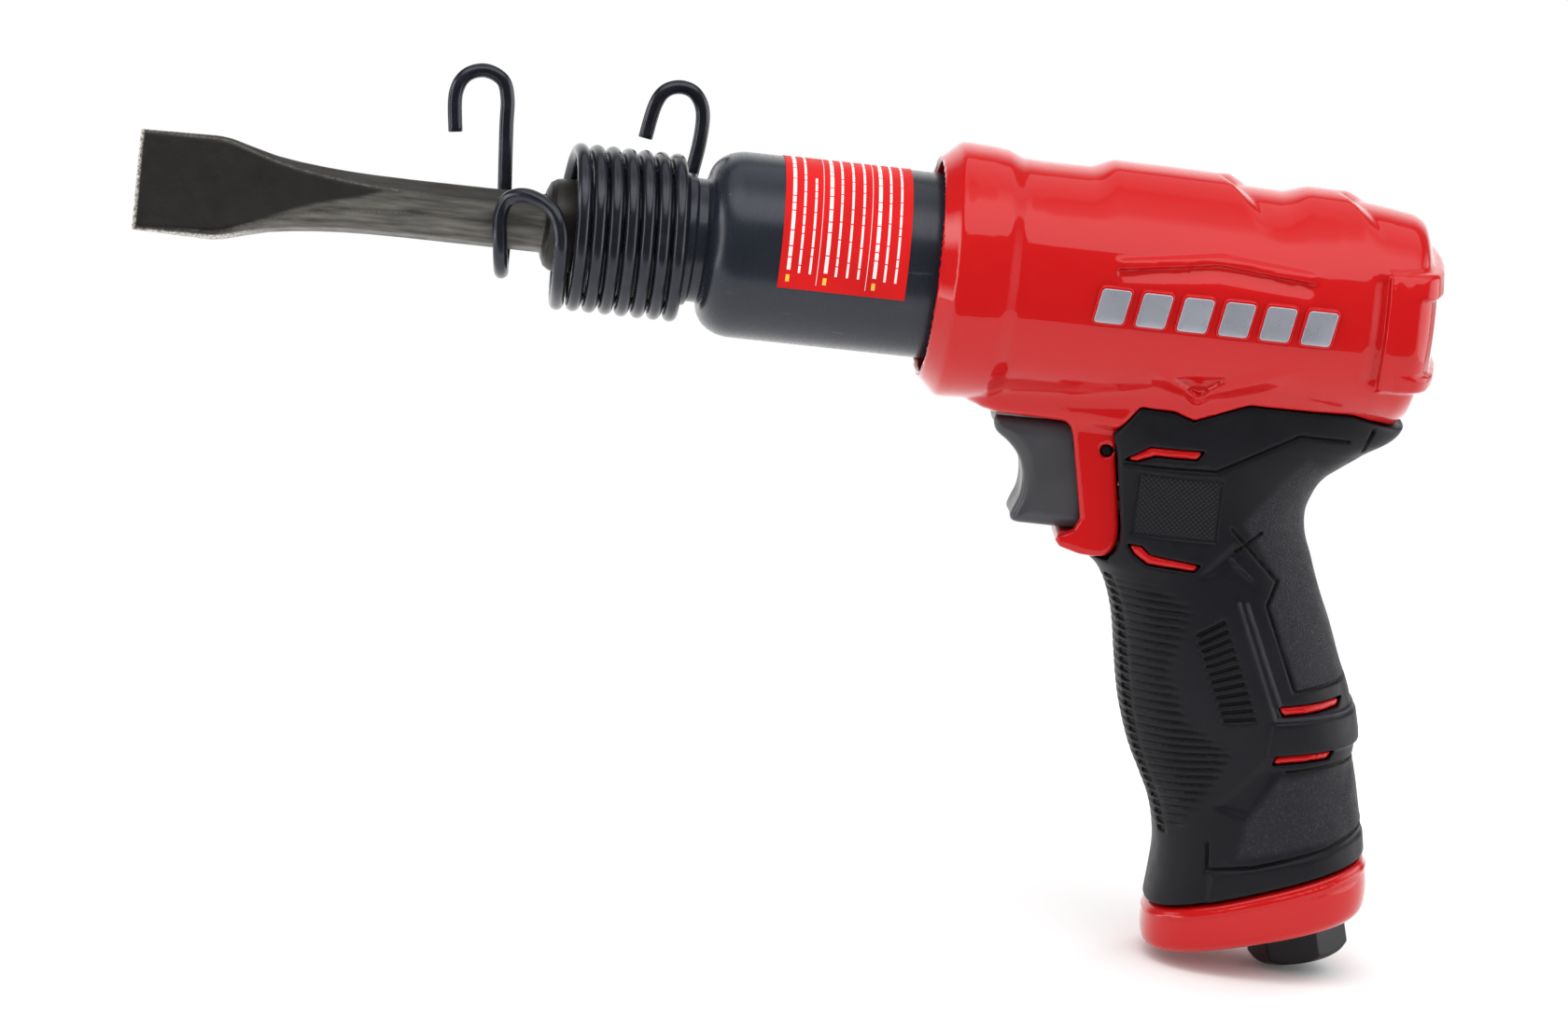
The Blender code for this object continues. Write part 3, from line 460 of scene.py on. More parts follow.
class Shader(Nodes):
    """A Principled material. Scales count per metre and bump heights are metres."""

    def __init__(self, name, color, roughness, metallic=0.0):
        self.material = bpy.data.materials.new(name)
        self.material.use_nodes = True
        super().__init__(self.material.node_tree)
        self.base = self.tree.nodes["Principled BSDF"]
        self.set(Base_Color=(*color, 1.0), Roughness=roughness, Metallic=metallic)
        self.place = self.node("ShaderNodeTexCoord").outputs["Object"]
        self.bump = None

    def set(self, **values):
        for name, value in values.items():
            self.feed(value, self.base.inputs[name.replace("_", " ")])
        return self

    def noise(self, per_metre, detail=3.0, stretch=(1.0, 1.0, 1.0)):
        place = self.node("ShaderNodeMapping", {"Scale": stretch, "Vector": self.place})
        feeds = {"Scale": per_metre, "Detail": detail, "Vector": place.outputs["Vector"]}
        return self.node("ShaderNodeTexNoise", feeds).outputs["Fac"]

    def cells(self, per_metre):
        feeds = {"Scale": per_metre, "Vector": self.place}
        return self.node("ShaderNodeTexVoronoi", feeds, feature="DISTANCE_TO_EDGE").outputs["Distance"]

    def waves(self, per_metre, degrees):
        """Bands across X once that is turned round Y."""
        turn = (0.0, math.radians(degrees), 0.0)
        place = self.node("ShaderNodeMapping", {"Rotation": turn, "Vector": self.place})
        feeds = {"Scale": per_metre, "Vector": place.outputs["Vector"]}
        return self.node("ShaderNodeTexWave", feeds, wave_type="BANDS", bands_direction="X").outputs["Fac"]

    def attribute(self, name):
        return self.node("ShaderNodeAttribute", attribute_name=name).outputs["Fac"]

    def tint(self, source, color, strength=1.0):
        """Mixes the colour in where source is 1."""
        base = self.base.inputs["Base Color"]
        under = base.links[0].from_socket if base.is_linked else base.default_value
        feeds = {"Factor": self.math("MULTIPLY", source, strength), "A": under, "B": (*color, 1.0)}
        return self.set(Base_Color=self.node("ShaderNodeMix", feeds, data_type="RGBA").outputs["Result"])

    def mottle(self, per_metre, low, high, color, strength, detail=3.0):
        """Mixes the colour in as soft blotches, where the noise is above low."""
        return self.tint(self.band(self.noise(per_metre, detail), low, high), color, strength)

    def rough(self, source, low, high):
        """Roughness that runs from low to high with source."""
        return self.set(Roughness=self.band(source, 0.3, 0.7, low, high))

    def raise_by(self, height, distance, strength=1.0):
        feeds = {"Distance": distance, "Strength": strength, "Height": height}
        if self.bump:
            feeds["Normal"] = self.bump
        self.bump = self.node("ShaderNodeBump", feeds).outputs["Normal"]
        return self.set(Normal=self.bump)


def gloss_red(name, color):
    """Moulded red with a hard clear gloss, a faint ripple and slightly uneven tone."""
    made = Shader(name, color, 0.34).set(Coat_Weight=1.0, Coat_Roughness=0.03, Coat_IOR=1.35)
    made.set(Specular_IOR_Level=0.10)
    darker = tuple(value * 0.86 for value in color)
    made.mottle(28.0, 0.3, 0.8, darker, 0.5)
    made.rough(made.noise(160.0), 0.28, 0.40)
    made.raise_by(made.noise(110.0, 1.0), 0.00010, 0.35)
    return made.raise_by(made.noise(900.0, 1.0), 0.000012, 0.4).material


def grip_rubber():
    """Matt moulded rubber with leathery panels and a fine crosshatched patch, painted shade in its cut
    lines and a painted highlight along its twin ridges.
    """
    made = Shader("grip_rubber", (0.0066, 0.0068, 0.0096), 0.44).set(Specular_IOR_Level=0.17)
    made.mottle(45.0, 0.4, 0.7, (0.0100, 0.0103, 0.0138), 0.6)
    leather = made.attribute("leather")
    made.tint(leather, (0.0180, 0.0185, 0.0235), 0.8)
    made.rough(made.noise(300.0), 0.38, 0.50)
    pebbles = made.band(made.cells(1900.0), 0.0, 0.30)
    made.raise_by(made.math("MULTIPLY", pebbles, leather), 0.00012, 0.9)
    specks = made.band(made.noise(1500.0, 2.0), 0.55, 0.70)
    made.tint(made.math("MULTIPLY", specks, leather), (0.040, 0.041, 0.046), 0.5)
    crossed = made.math("MULTIPLY", made.waves(400.0, 45.0), made.waves(400.0, -45.0))
    hatch = made.math("MULTIPLY", crossed, made.attribute("hatch"))
    made.raise_by(hatch, 0.00018, 1.0)
    made.tint(hatch, (0.028, 0.029, 0.033), 0.7)
    # Painted shade: the cut lines are darkened to near black, standing in for the shade inside them.
    made.tint(made.attribute("cut"), (0.0008, 0.0008, 0.0010), 1.0)
    # Painted highlight: a lighter colour along the twin ridges' crests.
    made.tint(made.attribute("ridge"), (0.040, 0.041, 0.048), 0.7)
    return made.raise_by(made.noise(2600.0, 2.0), 0.00002, 0.6).material


def barrel_black():
    """Blued steel, satin, with faint turning marks and a few rubbed scratches."""
    made = Shader("barrel_black", (0.020, 0.024, 0.034), 0.25, 0.15).set(Specular_IOR_Level=0.42)
    made.mottle(45.0, 0.35, 0.7, (0.015, 0.018, 0.026), 0.8)
    scratches = made.band(made.noise(260.0, 2.0, (0.35, 3.2, 3.2)), 0.69, 0.74)
    made.tint(scratches, (0.12, 0.13, 0.14), 0.20)
    made.rough(made.noise(220.0, 4.0, (9.0, 1.0, 1.0)), 0.22, 0.30)
    return made.raise_by(made.noise(500.0, 1.0, (4.0, 0.5, 0.5)), 0.00001, 0.12).material


def wire_black():
    """Oxide-coated spring wire, satin, a little rubbed."""
    made = Shader("wire_black", (0.018, 0.020, 0.028), 0.22, 0.5).set(Specular_IOR_Level=0.6)
    made.mottle(240.0, 0.50, 0.75, (0.036, 0.039, 0.050), 0.6, 2.0)
    made.rough(made.noise(300.0, 2.0), 0.18, 0.28)
    return made.raise_by(made.noise(700.0, 1.0), 0.00001, 0.3).material


def chisel_steel():
    """Forged dark steel: dark scale on the flats, lighter brushed metal on the lower side as a painted
    reflection of the bright table, bright rubbed edges.
    """
    made = Shader("chisel_steel", (0.014, 0.0125, 0.0110), 0.40, 0.5)
    made.mottle(120.0, 0.40, 0.75, (0.024, 0.021, 0.018), 0.6, 5.0)
    # Painted reflection: lighter brushed metal on the lower side that faces the bright table, from the
    # "facet" share.
    brushed = made.band(made.noise(420.0, 4.0, (0.25, 2.2, 2.2)), 0.30, 0.70, 0.25, 1.0)
    made.tint(made.math("MULTIPLY", made.attribute("facet"), brushed), (0.19, 0.180, 0.162), 0.75)
    speckle = made.band(made.noise(1600.0, 3.0), 0.42, 0.62, 0.3, 1.0)
    made.tint(made.math("MULTIPLY", made.attribute("wear"), speckle), (0.70, 0.66, 0.61), 0.95)
    made.rough(made.noise(260.0, 4.0), 0.34, 0.52)
    made.raise_by(made.noise(420.0, 4.0), 0.00008, 0.35)
    return made.raise_by(made.noise(1800.0, 2.0), 0.00003, 0.5).material


def simple(name, color, roughness, metallic, grain, depth, shine=0.35):
    """A plain finish with slightly uneven tone and a fine grain."""
    made = Shader(name, color, roughness, metallic).set(Specular_IOR_Level=shine)
    darker = tuple(value * 0.72 for value in color)
    made.mottle(90.0, 0.35, 0.7, darker, 0.6)
    made.rough(made.noise(400.0), roughness * 0.88, roughness * 1.12)
    return made.raise_by(made.noise(grain, 2.0), depth, 0.5).material


RED = gloss_red("housing_red", (0.52, 0.0035, 0.0045))
CAP_RED = gloss_red("cap_red", (0.51, 0.0040, 0.0048))
RUBBER = grip_rubber()
BLACK = barrel_black()
WIRE = wire_black()
CHISEL = chisel_steel()
TRIGGER = simple("trigger_gray", (0.054, 0.054, 0.061), 0.32, 0.0, 2400.0, 0.00002)
LABEL = simple("label_red", (0.62, 0.009, 0.010), 0.45, 0.0, 1800.0, 0.00001, 0.1)
PRINT = simple("label_print", (0.84, 0.78, 0.76), 0.45, 0.0, 1800.0, 0.00001, 0.1)
MARK = simple("label_mark", (0.86, 0.52, 0.05), 0.45, 0.0, 1800.0, 0.00001)
SILVER = simple("badge_silver", (0.50, 0.52, 0.59), 0.30, 0.55, 2600.0, 0.00001)
INLET = simple("inlet_black", (0.0055, 0.0050, 0.0068), 0.22, 0.0, 900.0, 0.00003, 0.2)
PIN = simple("pin_black", (0.012, 0.012, 0.013), 0.45, 0.8, 900.0, 0.00002)
BRIGHT = simple("bright_steel", (0.55, 0.55, 0.56), 0.28, 1.0, 900.0, 0.00002)
HARD = simple("valve_gray", (0.16, 0.165, 0.17), 0.42, 0.9, 900.0, 0.00002)
BRASS = simple("brass", (0.60, 0.42, 0.16), 0.32, 1.0, 900.0, 0.00002)
SEAL = simple("seal_rubber", (0.014, 0.014, 0.015), 0.62, 0.0, 1500.0, 0.00003)


def place_piece(piece, material, body, slot, *nodes):
    """Gives the piece its material, puts it under its body and hides the CAD nodes it replaces."""
    piece.data.materials.clear()
    piece.data.materials.append(material)
    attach(piece, body)
    if nodes:
        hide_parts(*nodes)
    return piece


# ---- housing

# x, height above the axis, half width, depth below the axis, neck half width,
# neck depth
BODY_STATIONS = [
    (-109.5, 23.3, 23.3, 23.5, 0.0, 0.0),
    (-105.3, 27.2, 27.2, 27.6, 0.0, 0.0),
    (-103.5, 27.4, 27.4, 27.8, 0.0, 10.0),
    (-98.0, 27.1, 27.1, 27.5, 8.0, 26.0),
    (-94.9, 26.7, 26.7, 27.1, 10.0, 28.0),
    (-91.6, 25.3, 25.3, 25.8, 10.5, 28.7),
    (-87.0, 25.1, 25.1, 25.4, 11.0, 28.7),
    (-75.8, 25.1, 25.0, 25.2, 12.0, 28.7),
    (-60.0, 24.9, 25.0, 25.0, 15.8, 28.7),
    (-45.4, 24.6, 25.0, 25.0, 17.3, 28.5),
    (-35.2, 24.3, 25.0, 25.0, 17.2, 28.0),
    (-24.3, 24.1, 24.7, 24.7, 16.0, 27.0),
    (-18.3, 23.9, 24.2, 24.5, 14.4, 26.5),
    (-12.0, 23.2, 23.6, 24.2, 12.0, 26.0),
    (-6.2, 22.3, 22.6, 23.4, 7.5, 25.0),
    (0.0, 21.3, 21.6, 22.4, 0.0, 24.0),
]
BODY_X, BODY_COLUMNS = blurred_table(BODY_STATIONS, 1.6)
# How far back the rear end stands, by distance from the axis
REAR_RADII = [0.0, 8.2, 12.8, 17.8, 21.3, 26.0]
REAR_ENDS = [-1.0, -1.0, -1.7, -2.6, -4.0, -7.5]
# The pad at the rear end and its two ribs: how far they stand out to the side and back
PAD = box_outline(-12.4, 4.0, -12.0, 14.0)
PAD_OUT, PAD_BACK = 1.2, 1.1
RIBS = [box_outline(-8.5, 4.0, low, high) for low, high in ((9.0, 14.0), (-11.8, -7.9))]
RIB_OUT, RIB_BACK = 1.5, 2.5

# Where the grip meets the housing, then the post's outline and its edge on the grip
GRIP_LINE = [
    (-66.3, -29.5), (-61.5, -22.4), (-54.4, -22.4), (-49.9, -23.8), (-44.4, -21.4), (-38.4, -18.9),
    (-16.3, -19.2), (-4.5, -22.6),
]
POST_OUTLINE = [
    (-56.5, -24.0), (-76.3, -24.0), (-75.8, -28.6), (-74.7, -31.5), (-70.8, -49.6), (-71.8, -52.2),
    (-75.0, -53.8), (-75.4, -55.0), (-74.4, -56.2), (-70.0, -57.4), (-60.7, -57.9), (-55.8, -53.0),
]
POST_LINE = [
    (-66.4, -57.6), (-64.6, -57.2), (-63.3, -56.2), (-62.5, -54.7), (-62.2, -52.8), (-62.3, -50.2),
    (-65.2, -34.1),
]

# Raised bands across the top: start, full height from, end at the crest, height. They
# fade down the sides, and their slanted ends lie further back the lower they are
TOP_BANDS = [(-77.4, -71.6, -49.6, 2.1), (-36.0, -29.2, -23.6, 1.8)]
BAND_FADE = (4.0, 19.0)
BAND_LEAN = 0.5
BAND_END = 3.4
# The brow line on the side: its height along X, its span, and the hollow below it
BROW_X = [-71.3, -49.4, -28.2]
BROW_Z = [10.2, 13.1, 11.4]
BROW_SPAN = (-71.8, -70.6, -30.0, -27.0)
BROW_RISE, BROW_DROP = 0.6, 0.75
BROW_HOLLOW = (0.8, 1.7, 1.7, 5.6)
# The V mark below the badge: two arms and a foot with sharp crests, and a pocket
VEE = (-50.2, -18.0)
VEE_ARMS = [(-64.0, -10.6), (-26.5, -7.4)]
VEE_FOOT = (-50.0, -24.2)
ARM_HEIGHT, ARM_HALF = 0.9, 2.6
FOOT_HEIGHT, FOOT_HALF = 0.8, 2.4
VEE_POCKET_DEPTH = 0.8
VEE_POCKET = [(-56.0, -13.9), (-44.6, -12.7), (-50.0, -17.4)]
# The shallow scoop in front of the rear pad
SCOOP_X = (-17.0, -12.9, -12.7, -12.1)
SCOOP_Z = (-11.5, -9.0, 11.0, 13.5)
SCOOP_DEPTH = 1.0
# Side details fade in between these distances from the middle plane
SIDE_FADE = (9.0, 15.0)
# Red strips of the handle that show in the grip's windows
STRIP_DEPTH, STRIP_HALF = 1.5, 0.95
POCKET = box_outline(-95.0, -62.3, -53.3, -29.2)
POCKET_HALF = 8.1
PIN_HOLE_R = 1.45
UNDER_GRIP_LINE = GRIP_LINE + [(4.5, -23.7), (6.0, -70.0), (-66.6, -70.0)]
FRONT_OF_GRIP = (
    [(-90.0, -70.0), (-66.6, -70.0)]
    + POST_LINE
    + [(-65.6, -30.0), (-61.5, -23.0), (-55.0, -15.0), (-90.0, -15.0)]
)


def crest(x, z, start, end, half_width):
    """A ridge with a sharp top along a segment."""
    return np.clip(1.0 - to_segment(x, z, start, end)[0] / half_width, 0.0, 1.0)


def band_height(x, y):
    """The two raised bands, which fade down the sides and end in a slanted facet."""
    away = np.abs(y)
    total = 0.0
    for start, full, end, height in TOP_BANDS:
        end = end + BAND_LEAN * away
        total = total + height * ramp(x, start, full) * (1.0 - np.clip((x - end) / BAND_END, 0.0, 1.0))
    return total * (1.0 - ramp(away, *BAND_FADE))


def side_relief(x, z):
    """How far the moulded details stand out of the body's side."""
    below = np.interp(x, BROW_X, BROW_Z) - z
    along = plateau(x, *BROW_SPAN)
    relief = BROW_RISE * (1.0 - ramp(np.abs(below), 0.6, 1.3)) * along
    relief = relief - BROW_DROP * plateau(below, *BROW_HOLLOW) * along
    for arm in VEE_ARMS:
        fade = ramp(to_segment(x, z, arm, VEE)[1], 0.0, 0.6)
        relief = relief + ARM_HEIGHT * crest(x, z, arm, VEE, ARM_HALF) * fade
    relief = relief + FOOT_HEIGHT * crest(x, z, VEE, VEE_FOOT, FOOT_HALF)
    relief = relief - VEE_POCKET_DEPTH * panel(x, z, VEE_POCKET, 0.8)
    return relief - SCOOP_DEPTH * plateau(x, *SCOOP_X) * plateau(z, *SCOOP_Z)


def side_of_body(y, z, up, wide, down, grow=0.0):
    """Distance to the body's oval side, which has its own height above and below."""
    level = np.where(z > 0.0, up, down)
    share = np.hypot(y / (wide + grow), z / (level + grow))
    return (share - 1.0) * np.minimum(wide, level)


def body_distance(x, y, z):
    """The housing's body with its raised details, before anything is cut from it."""
    up, wide, down, neck, depth = [np.interp(x, BODY_X, column) for column in BODY_COLUMNS]
    up = up + band_height(x, y)
    side = side_of_body(y, z, up, wide, down) - side_relief(x, z) * ramp(np.abs(y), *SIDE_FADE)
    under = smooth_max(np.abs(y) - neck, -z - depth, 3.5)
    body = smooth_min(side, np.maximum(under, z), 3.0)
    rear = x - np.interp(np.hypot(y, z), REAR_RADII, REAR_ENDS)
    body = smooth_max(body, rear, 2.4)
    pad = smooth_max(side_of_body(y, z, up, wide, down, PAD_OUT), rear - PAD_BACK, 1.8)
    pad = smooth_max(pad, to_outline(x, z, PAD), 0.8)
    bump = smooth_max(side_of_body(y, z, up, wide, down, RIB_OUT), rear - RIB_BACK, 1.6)
    for rib in RIBS:
        pad = smooth_min(pad, smooth_max(bump, to_outline(x, z, rib), 0.9), 0.6)
    return smooth_min(body, pad, 0.9)


def post_distance(x, y, z):
    """The red post that holds the trigger, in front of the grip."""
    return smooth_max(to_outline(x, z, POST_OUTLINE), np.abs(y) - POST_HALF, 1.3)


def rod_distance(x, y, z, start_x, end_x, radius):
    return np.maximum(np.hypot(y, z) - radius, np.maximum(start_x - x, x - end_x))


def housing_distance(x, y, z):
    """Body and post, bored for the barrel and the pin, with the grip's red strips."""
    body = smooth_max(body_distance(x, y, z), -to_outline(x, z, UNDER_GRIP_LINE), 0.7)
    post = smooth_max(post_distance(x, y, z), to_outline(x, z, FRONT_OF_GRIP), 0.7)
    body = smooth_max(smooth_min(body, post, 1.6), MOUTH_X - x, 0.25)
    mouth = rod_distance(x, y, z, MOUTH_X - 9.0, MOUTH_X + MOUTH_DEPTH, MOUTH_R)
    body = smooth_max(body, -mouth, 0.9)
    body = np.maximum(body, -rod_distance(x, y, z, MOUTH_X, BARREL_REAR + GAP, THREAD_R))
    body = np.maximum(body, -rod_distance(x, y, z, BARREL_REAR - 1.0, CHAMBER_REAR, CHAMBER_R))
    pocket = np.maximum(np.abs(y) - POCKET_HALF, to_outline(x, z, POCKET))
    body = smooth_max(body, -pocket, 0.5)
    body = smooth_max(body, PIN_HOLE_R - np.hypot(x - PIN_X, z - PIN_Z), 0.3)
    depth = np.abs(HANDLE.distance(x, y, z) + STRIP_DEPTH) - STRIP_HALF
    for outline in WINDOWS:
        body = np.minimum(body, smooth_max(to_outline(x, z, outline), depth, 0.3))
    return body


# ---- grip

LOFT_STEPS = 14
SECANT_ROUNDS = 7
# A rise per level under LEAST_RISE is taken as USUAL_RISE, and a round moves by
# MOST_LEVELS at most
LEAST_RISE, USUAL_RISE, MOST_LEVELS = 0.02, 0.4, 25.0


class OvalLoft:
    """Squared ovals in planes square to XZ, through front and back edge points."""

    def __init__(self, stations):
        rows = [(*front, *back, half, power) for front, back, half, power in stations]
        self.rows = curve_through(rows, LOFT_STEPS)
        self.at = np.arange(len(self.rows), dtype=float)
        steps_along = np.hypot(*np.diff(self.rows[:, :2], axis=0).T)
        self.front_length = np.concatenate([[0.0], np.cumsum(steps_along)])

    def value(self, level, column):
        return np.interp(level, self.at, self.rows[:, column])

    def edges(self, level):
        return [self.value(level, column) for column in range(4)]

    def offset(self, x, z, level):
        """Signed distance from the edge-to-edge line at this level."""
        x0, z0, x1, z1 = self.edges(level)
        length = np.hypot(x1 - x0, z1 - z0)
        return ((x1 - x0) * (z - z0) - (z1 - z0) * (x - x0)) / length

    def level(self, x, z):
        """The level whose plane holds the point, found by repeated secant steps."""
        last = self.at[-1]
        found = np.interp(-z, -self.rows[:, 1], self.at) + np.zeros(np.shape(x))
        for _ in range(SECANT_ROUNDS):
            here = self.offset(x, z, found)
            there = self.offset(x, z, np.minimum(found + 1.0, last + 1.0))
            slope = np.where(np.abs(there - here) < LEAST_RISE, USUAL_RISE, there - here)
            found = np.clip(found - np.clip(here / slope, -MOST_LEVELS, MOST_LEVELS), 0.0, last)
        return found

    def across(self, x, z, level):
        """-1 at the front edge and 1 at the back edge, with half the span."""
        x0, z0, x1, z1 = self.edges(level)
        half = np.hypot(x1 - x0, z1 - z0) / 2.0
        along = ((x - x0) * (x1 - x0) + (z - z0) * (z1 - z0)) / (2.0 * half)
        return along / half - 1.0, half

    def distance(self, x, y, z):
        level = self.level(x, z)
        share, half = self.across(x, z, level)
        wide, power = self.value(level, 4), self.value(level, 5)
        u, v = np.maximum(np.abs(share), 1e-4), np.maximum(np.abs(y) / wide, 1e-4)
        total = (u**power + v**power) ** (1.0 / power)
        slope = np.hypot(u ** (power - 1.0) / half, v ** (power - 1.0) / wide)
        slope = slope * total ** (1.0 - power)
        return (total - 1.0) / np.maximum(slope, 0.01)

    def above(self, x, z):
        """Distance above the first plane, positive outside."""
        return self.offset(x, z, np.zeros(1))

    def below(self, x, z):
        return -self.offset(x, z, self.at[-1:])


HANDLE = OvalLoft(
    [
        ((-75.7, -12.0), (-3.7, -12.0), 17.3, 2.6),
        ((-75.5, -24.0), (-3.3, -24.0), 17.3, 2.6),
        ((-73.3, -30.0), (-10.9, -30.0), 17.3, 2.6),
        ((-71.7, -36.5), (-18.3, -36.0), 17.0, 2.5),
        ((-71.0, -42.0), (-21.1, -41.5), 16.7, 2.5),
        ((-70.4, -47.0), (-21.6, -45.5), 16.6, 2.5),
        ((-69.8, -52.5), (-20.8, -49.8), 16.7, 2.5),
        ((-68.5, -57.8), (-19.1, -54.0), 16.9, 2.4),
        ((-65.2, -61.0), (-17.6, -58.0), 17.1, 2.4),
        ((-62.5, -65.5), (-15.6, -62.8), 17.4, 2.4),
        ((-60.2, -72.2), (-13.1, -68.2), 17.8, 2.4),
        ((-58.5, -81.0), (-9.9, -76.0), 18.0, 2.4),
        ((-56.9, -88.5), (-7.1, -82.5), 18.0, 2.4),
        ((-55.4, -93.6), (-5.2, -88.8), 17.8, 2.4),
        ((-53.0, -100.0), (-4.3, -93.0), 17.5, 2.4),
        ((-49.8, -106.2), (-4.2, -97.9), 17.3, 2.4),
        ((-47.1, -111.6), (-2.9, -103.0), 17.3, 2.4),
        ((-45.3, -117.6), (-1.6, -108.4), 17.6, 2.5),
        ((-44.6, -123.5), (-0.5, -112.8), 18.0, 2.5),
        ((-45.1, -134.6), (0.7, -118.7), 18.4, 2.5),
    ]
)
WINDOWS = [
    [(-62.9, -34.5), (-58.2, -31.0), (-47.0, -30.5), (-48.1, -32.3), (-57.1, -32.7), (-60.8, -34.5)],
    [
        (-59.9, -53.2), (-57.3, -53.2), (-55.3, -54.8), (-44.5, -55.7), (-45.5, -57.0),
        (-55.5, -56.8), (-58.5, -55.1),
    ],
    [(-23.2, -85.0), (-15.0, -83.9), (-9.8, -83.0), (-10.2, -84.6), (-15.2, -85.7), (-22.2, -86.7)],
    [(-22.3, -96.0), (-10.2, -94.3), (-11.0, -95.9), (-22.8, -97.6)],
]
SLIT_GAP, SLIT_DEPTH = 0.3, 2.7
CREASES = [
    [(-15.9, -25.2), (-26.7, -24.7), (-43.6, -34.4), (-63.0, -35.4)],
    [(-10.8, -22.6), (-12.4, -27.5)],
    [(-38.6, -46.9), (-37.1, -48.3), (-27.2, -57.7), (-28.8, -62.9), (-20.3, -81.4), (-6.0, -78.5)],
    [(-32.0, -47.4), (-37.1, -51.8)],
    [(-20.0, -99.2), (-2.0, -96.2)],
    [(-34.6, -116.6), (-34.0, -122.6), (-24.1, -120.7), (-8.9, -115.7), (0.0, -110.8)],
]
TWIN_RIDGES = [
    [(-34.9, -62.7), (-23.8, -87.6), (-7.9, -85.9), (0.0, -84.0)],
    [(-33.3, -62.7), (-22.6, -85.9)],
]
TWIN_HEIGHT, TWIN_HALF = 0.50, 0.55
# The short ridge that dies out: where it fades to nothing, where it is full
SPUR = [(-31.4, -58.8), (-38.1, -53.6)]
SPUR_HEIGHT, SPUR_HALF = 0.40, 0.7
STRAP = [(-24.0, -88.4), (-8.0, -86.6), (4.0, -84.6), (6.0, -92.6), (-8.0, -93.9), (-24.5, -95.9)]
SCOOPS = [
    [(-37.5, -50.6), (-43.5, -57.6), (-41.0, -57.0), (-36.2, -52.4)],
    [(-24.4, -97.6), (-21.3, -98.9), (-26.6, -110.0), (-33.6, -108.4)],
]
LEDGE = [(-33.0, -123.6), (-8.9, -116.9), (4.0, -111.4), (6.0, -120.5), (-33.0, -134.0)]
HATCH = [(-59.9, -36.9), (-42.0, -36.5), (-41.7, -50.0), (-59.6, -50.4)]
LEATHER = [
    [
        (-36.0, -45.5), (-26.4, -57.3), (-28.0, -62.7), (-19.6, -80.6), (0.0, -77.0),
        (-10.0, -40.0), (-24.0, -30.0),
    ],
    [(-21.0, -101.0), (-2.0, -97.8), (2.0, -109.0), (-9.5, -114.0), (-28.0, -119.5), (-27.0, -111.0)],
]
FINGERS = [
    (-66.0, -60.5), (-52.0, -60.5), (-43.5, -64.5), (-46.5, -78.3), (-41.8, -89.0), (-30.7, -95.6),
    (-34.4, -105.0), (-39.5, -118.0), (-50.0, -118.0), (-62.0, -90.0),
]
FINGER_PITCH = 1.95
BACK_SWELL = [(-5.0, -98.4), (4.0, -97.0), (6.0, -110.5), (-3.0, -112.4), (-5.6, -105.5)]
# Panels of the grip: outline, how far it stands out, width of its soft edge
PANELS = [(STRAP, 0.85, 1.4), (LEDGE, 0.50, 1.2), (BACK_SWELL, 0.35, 2.4), (HATCH, -0.25, 0.8)]
PANELS += [(outline, -0.70, 2.2) for outline in SCOOPS]
PANELS += [(outline, -0.12, 2.4) for outline in LEATHER]
# The block of slots: top and bottom of its front side, top and bottom of its back side
SLOT_SIDES = [((-42.8, -70.9), (-34.6, -89.0)), ((-37.6, -67.4), (-28.4, -88.0))]
SLOT_COUNT = 12
SLOT_HALF = (0.25, 0.75)
CUT_DEPTH = 0.55
# Each finger groove ends near the front edge in a wider notch, at this share across
NOTCH_SHARE = -0.925
# The core reaches past the sleeve's ends, so that no light shows through the joints
CORE_REACH, CORE_DEPTH = 2.0, 4.0
CORE_HALF, CORE_FRONT = 9.0, -58.0


def slot_depth(x, z):
    """The block of short slanted slots on each flank of the grip."""
    tops, bottoms = np.array(SLOT_SIDES).swapaxes(0, 1)
    best = np.inf
    for index in range(SLOT_COUNT):
        ends = tops + (bottoms - tops) * (index / (SLOT_COUNT - 1))
        best = np.minimum(best, to_segment(x, z, *ends)[0])
    return 1.0 - ramp(best, *SLOT_HALF)


def grip_cuts(x, z, share, front_length):
    """1 along the thin lines cut in the grip: seams, slots and finger grooves."""
    cuts = np.maximum.reduce([groove(x, z, line, 0.5) for line in CREASES])
    cuts = np.maximum(cuts, 0.55 * (1.0 - ramp(np.abs(to_outline(x, z, HATCH)), 0.1, 0.5)))
    cuts = np.maximum(cuts, 1.1 * slot_depth(x, z))
    phase = front_length / FINGER_PITCH
    away = np.abs(phase - np.round(phase)) * FINGER_PITCH
    inside = -to_outline(x, z, FINGERS)
    fingers = 0.8 * (1.0 - ramp(away, 0.10, 0.46)) * ramp(inside, 0.0, 3.5)
    notch = 1.0 - ramp(np.abs(share - NOTCH_SHARE), 0.018, 0.042)
    pits = 1.3 * notch * (1.0 - ramp(away, 0.42, 0.76)) * ramp(inside, 0.0, 1.5)
    return np.maximum(cuts, np.maximum(fingers, pits))


def grip_relief(x, z):
    """How far the grip's panels and ridges stand out or, when negative, lie back."""
    relief = SPUR_HEIGHT * tapered(x, z, *SPUR, SPUR_HALF)
    for line in TWIN_RIDGES:
        relief = relief + TWIN_HEIGHT * groove(x, z, line, TWIN_HALF)
    for outline, height, edge in PANELS:
        relief = relief + height * panel(x, z, outline, edge)
    return relief


def grip_place(x, z):
    """Where a point lies on the handle: across it, and along its front edge."""
    level = HANDLE.level(x, z)
    share = HANDLE.across(x, z, level)[0]
    return share, np.interp(level, HANDLE.at, HANDLE.front_length)


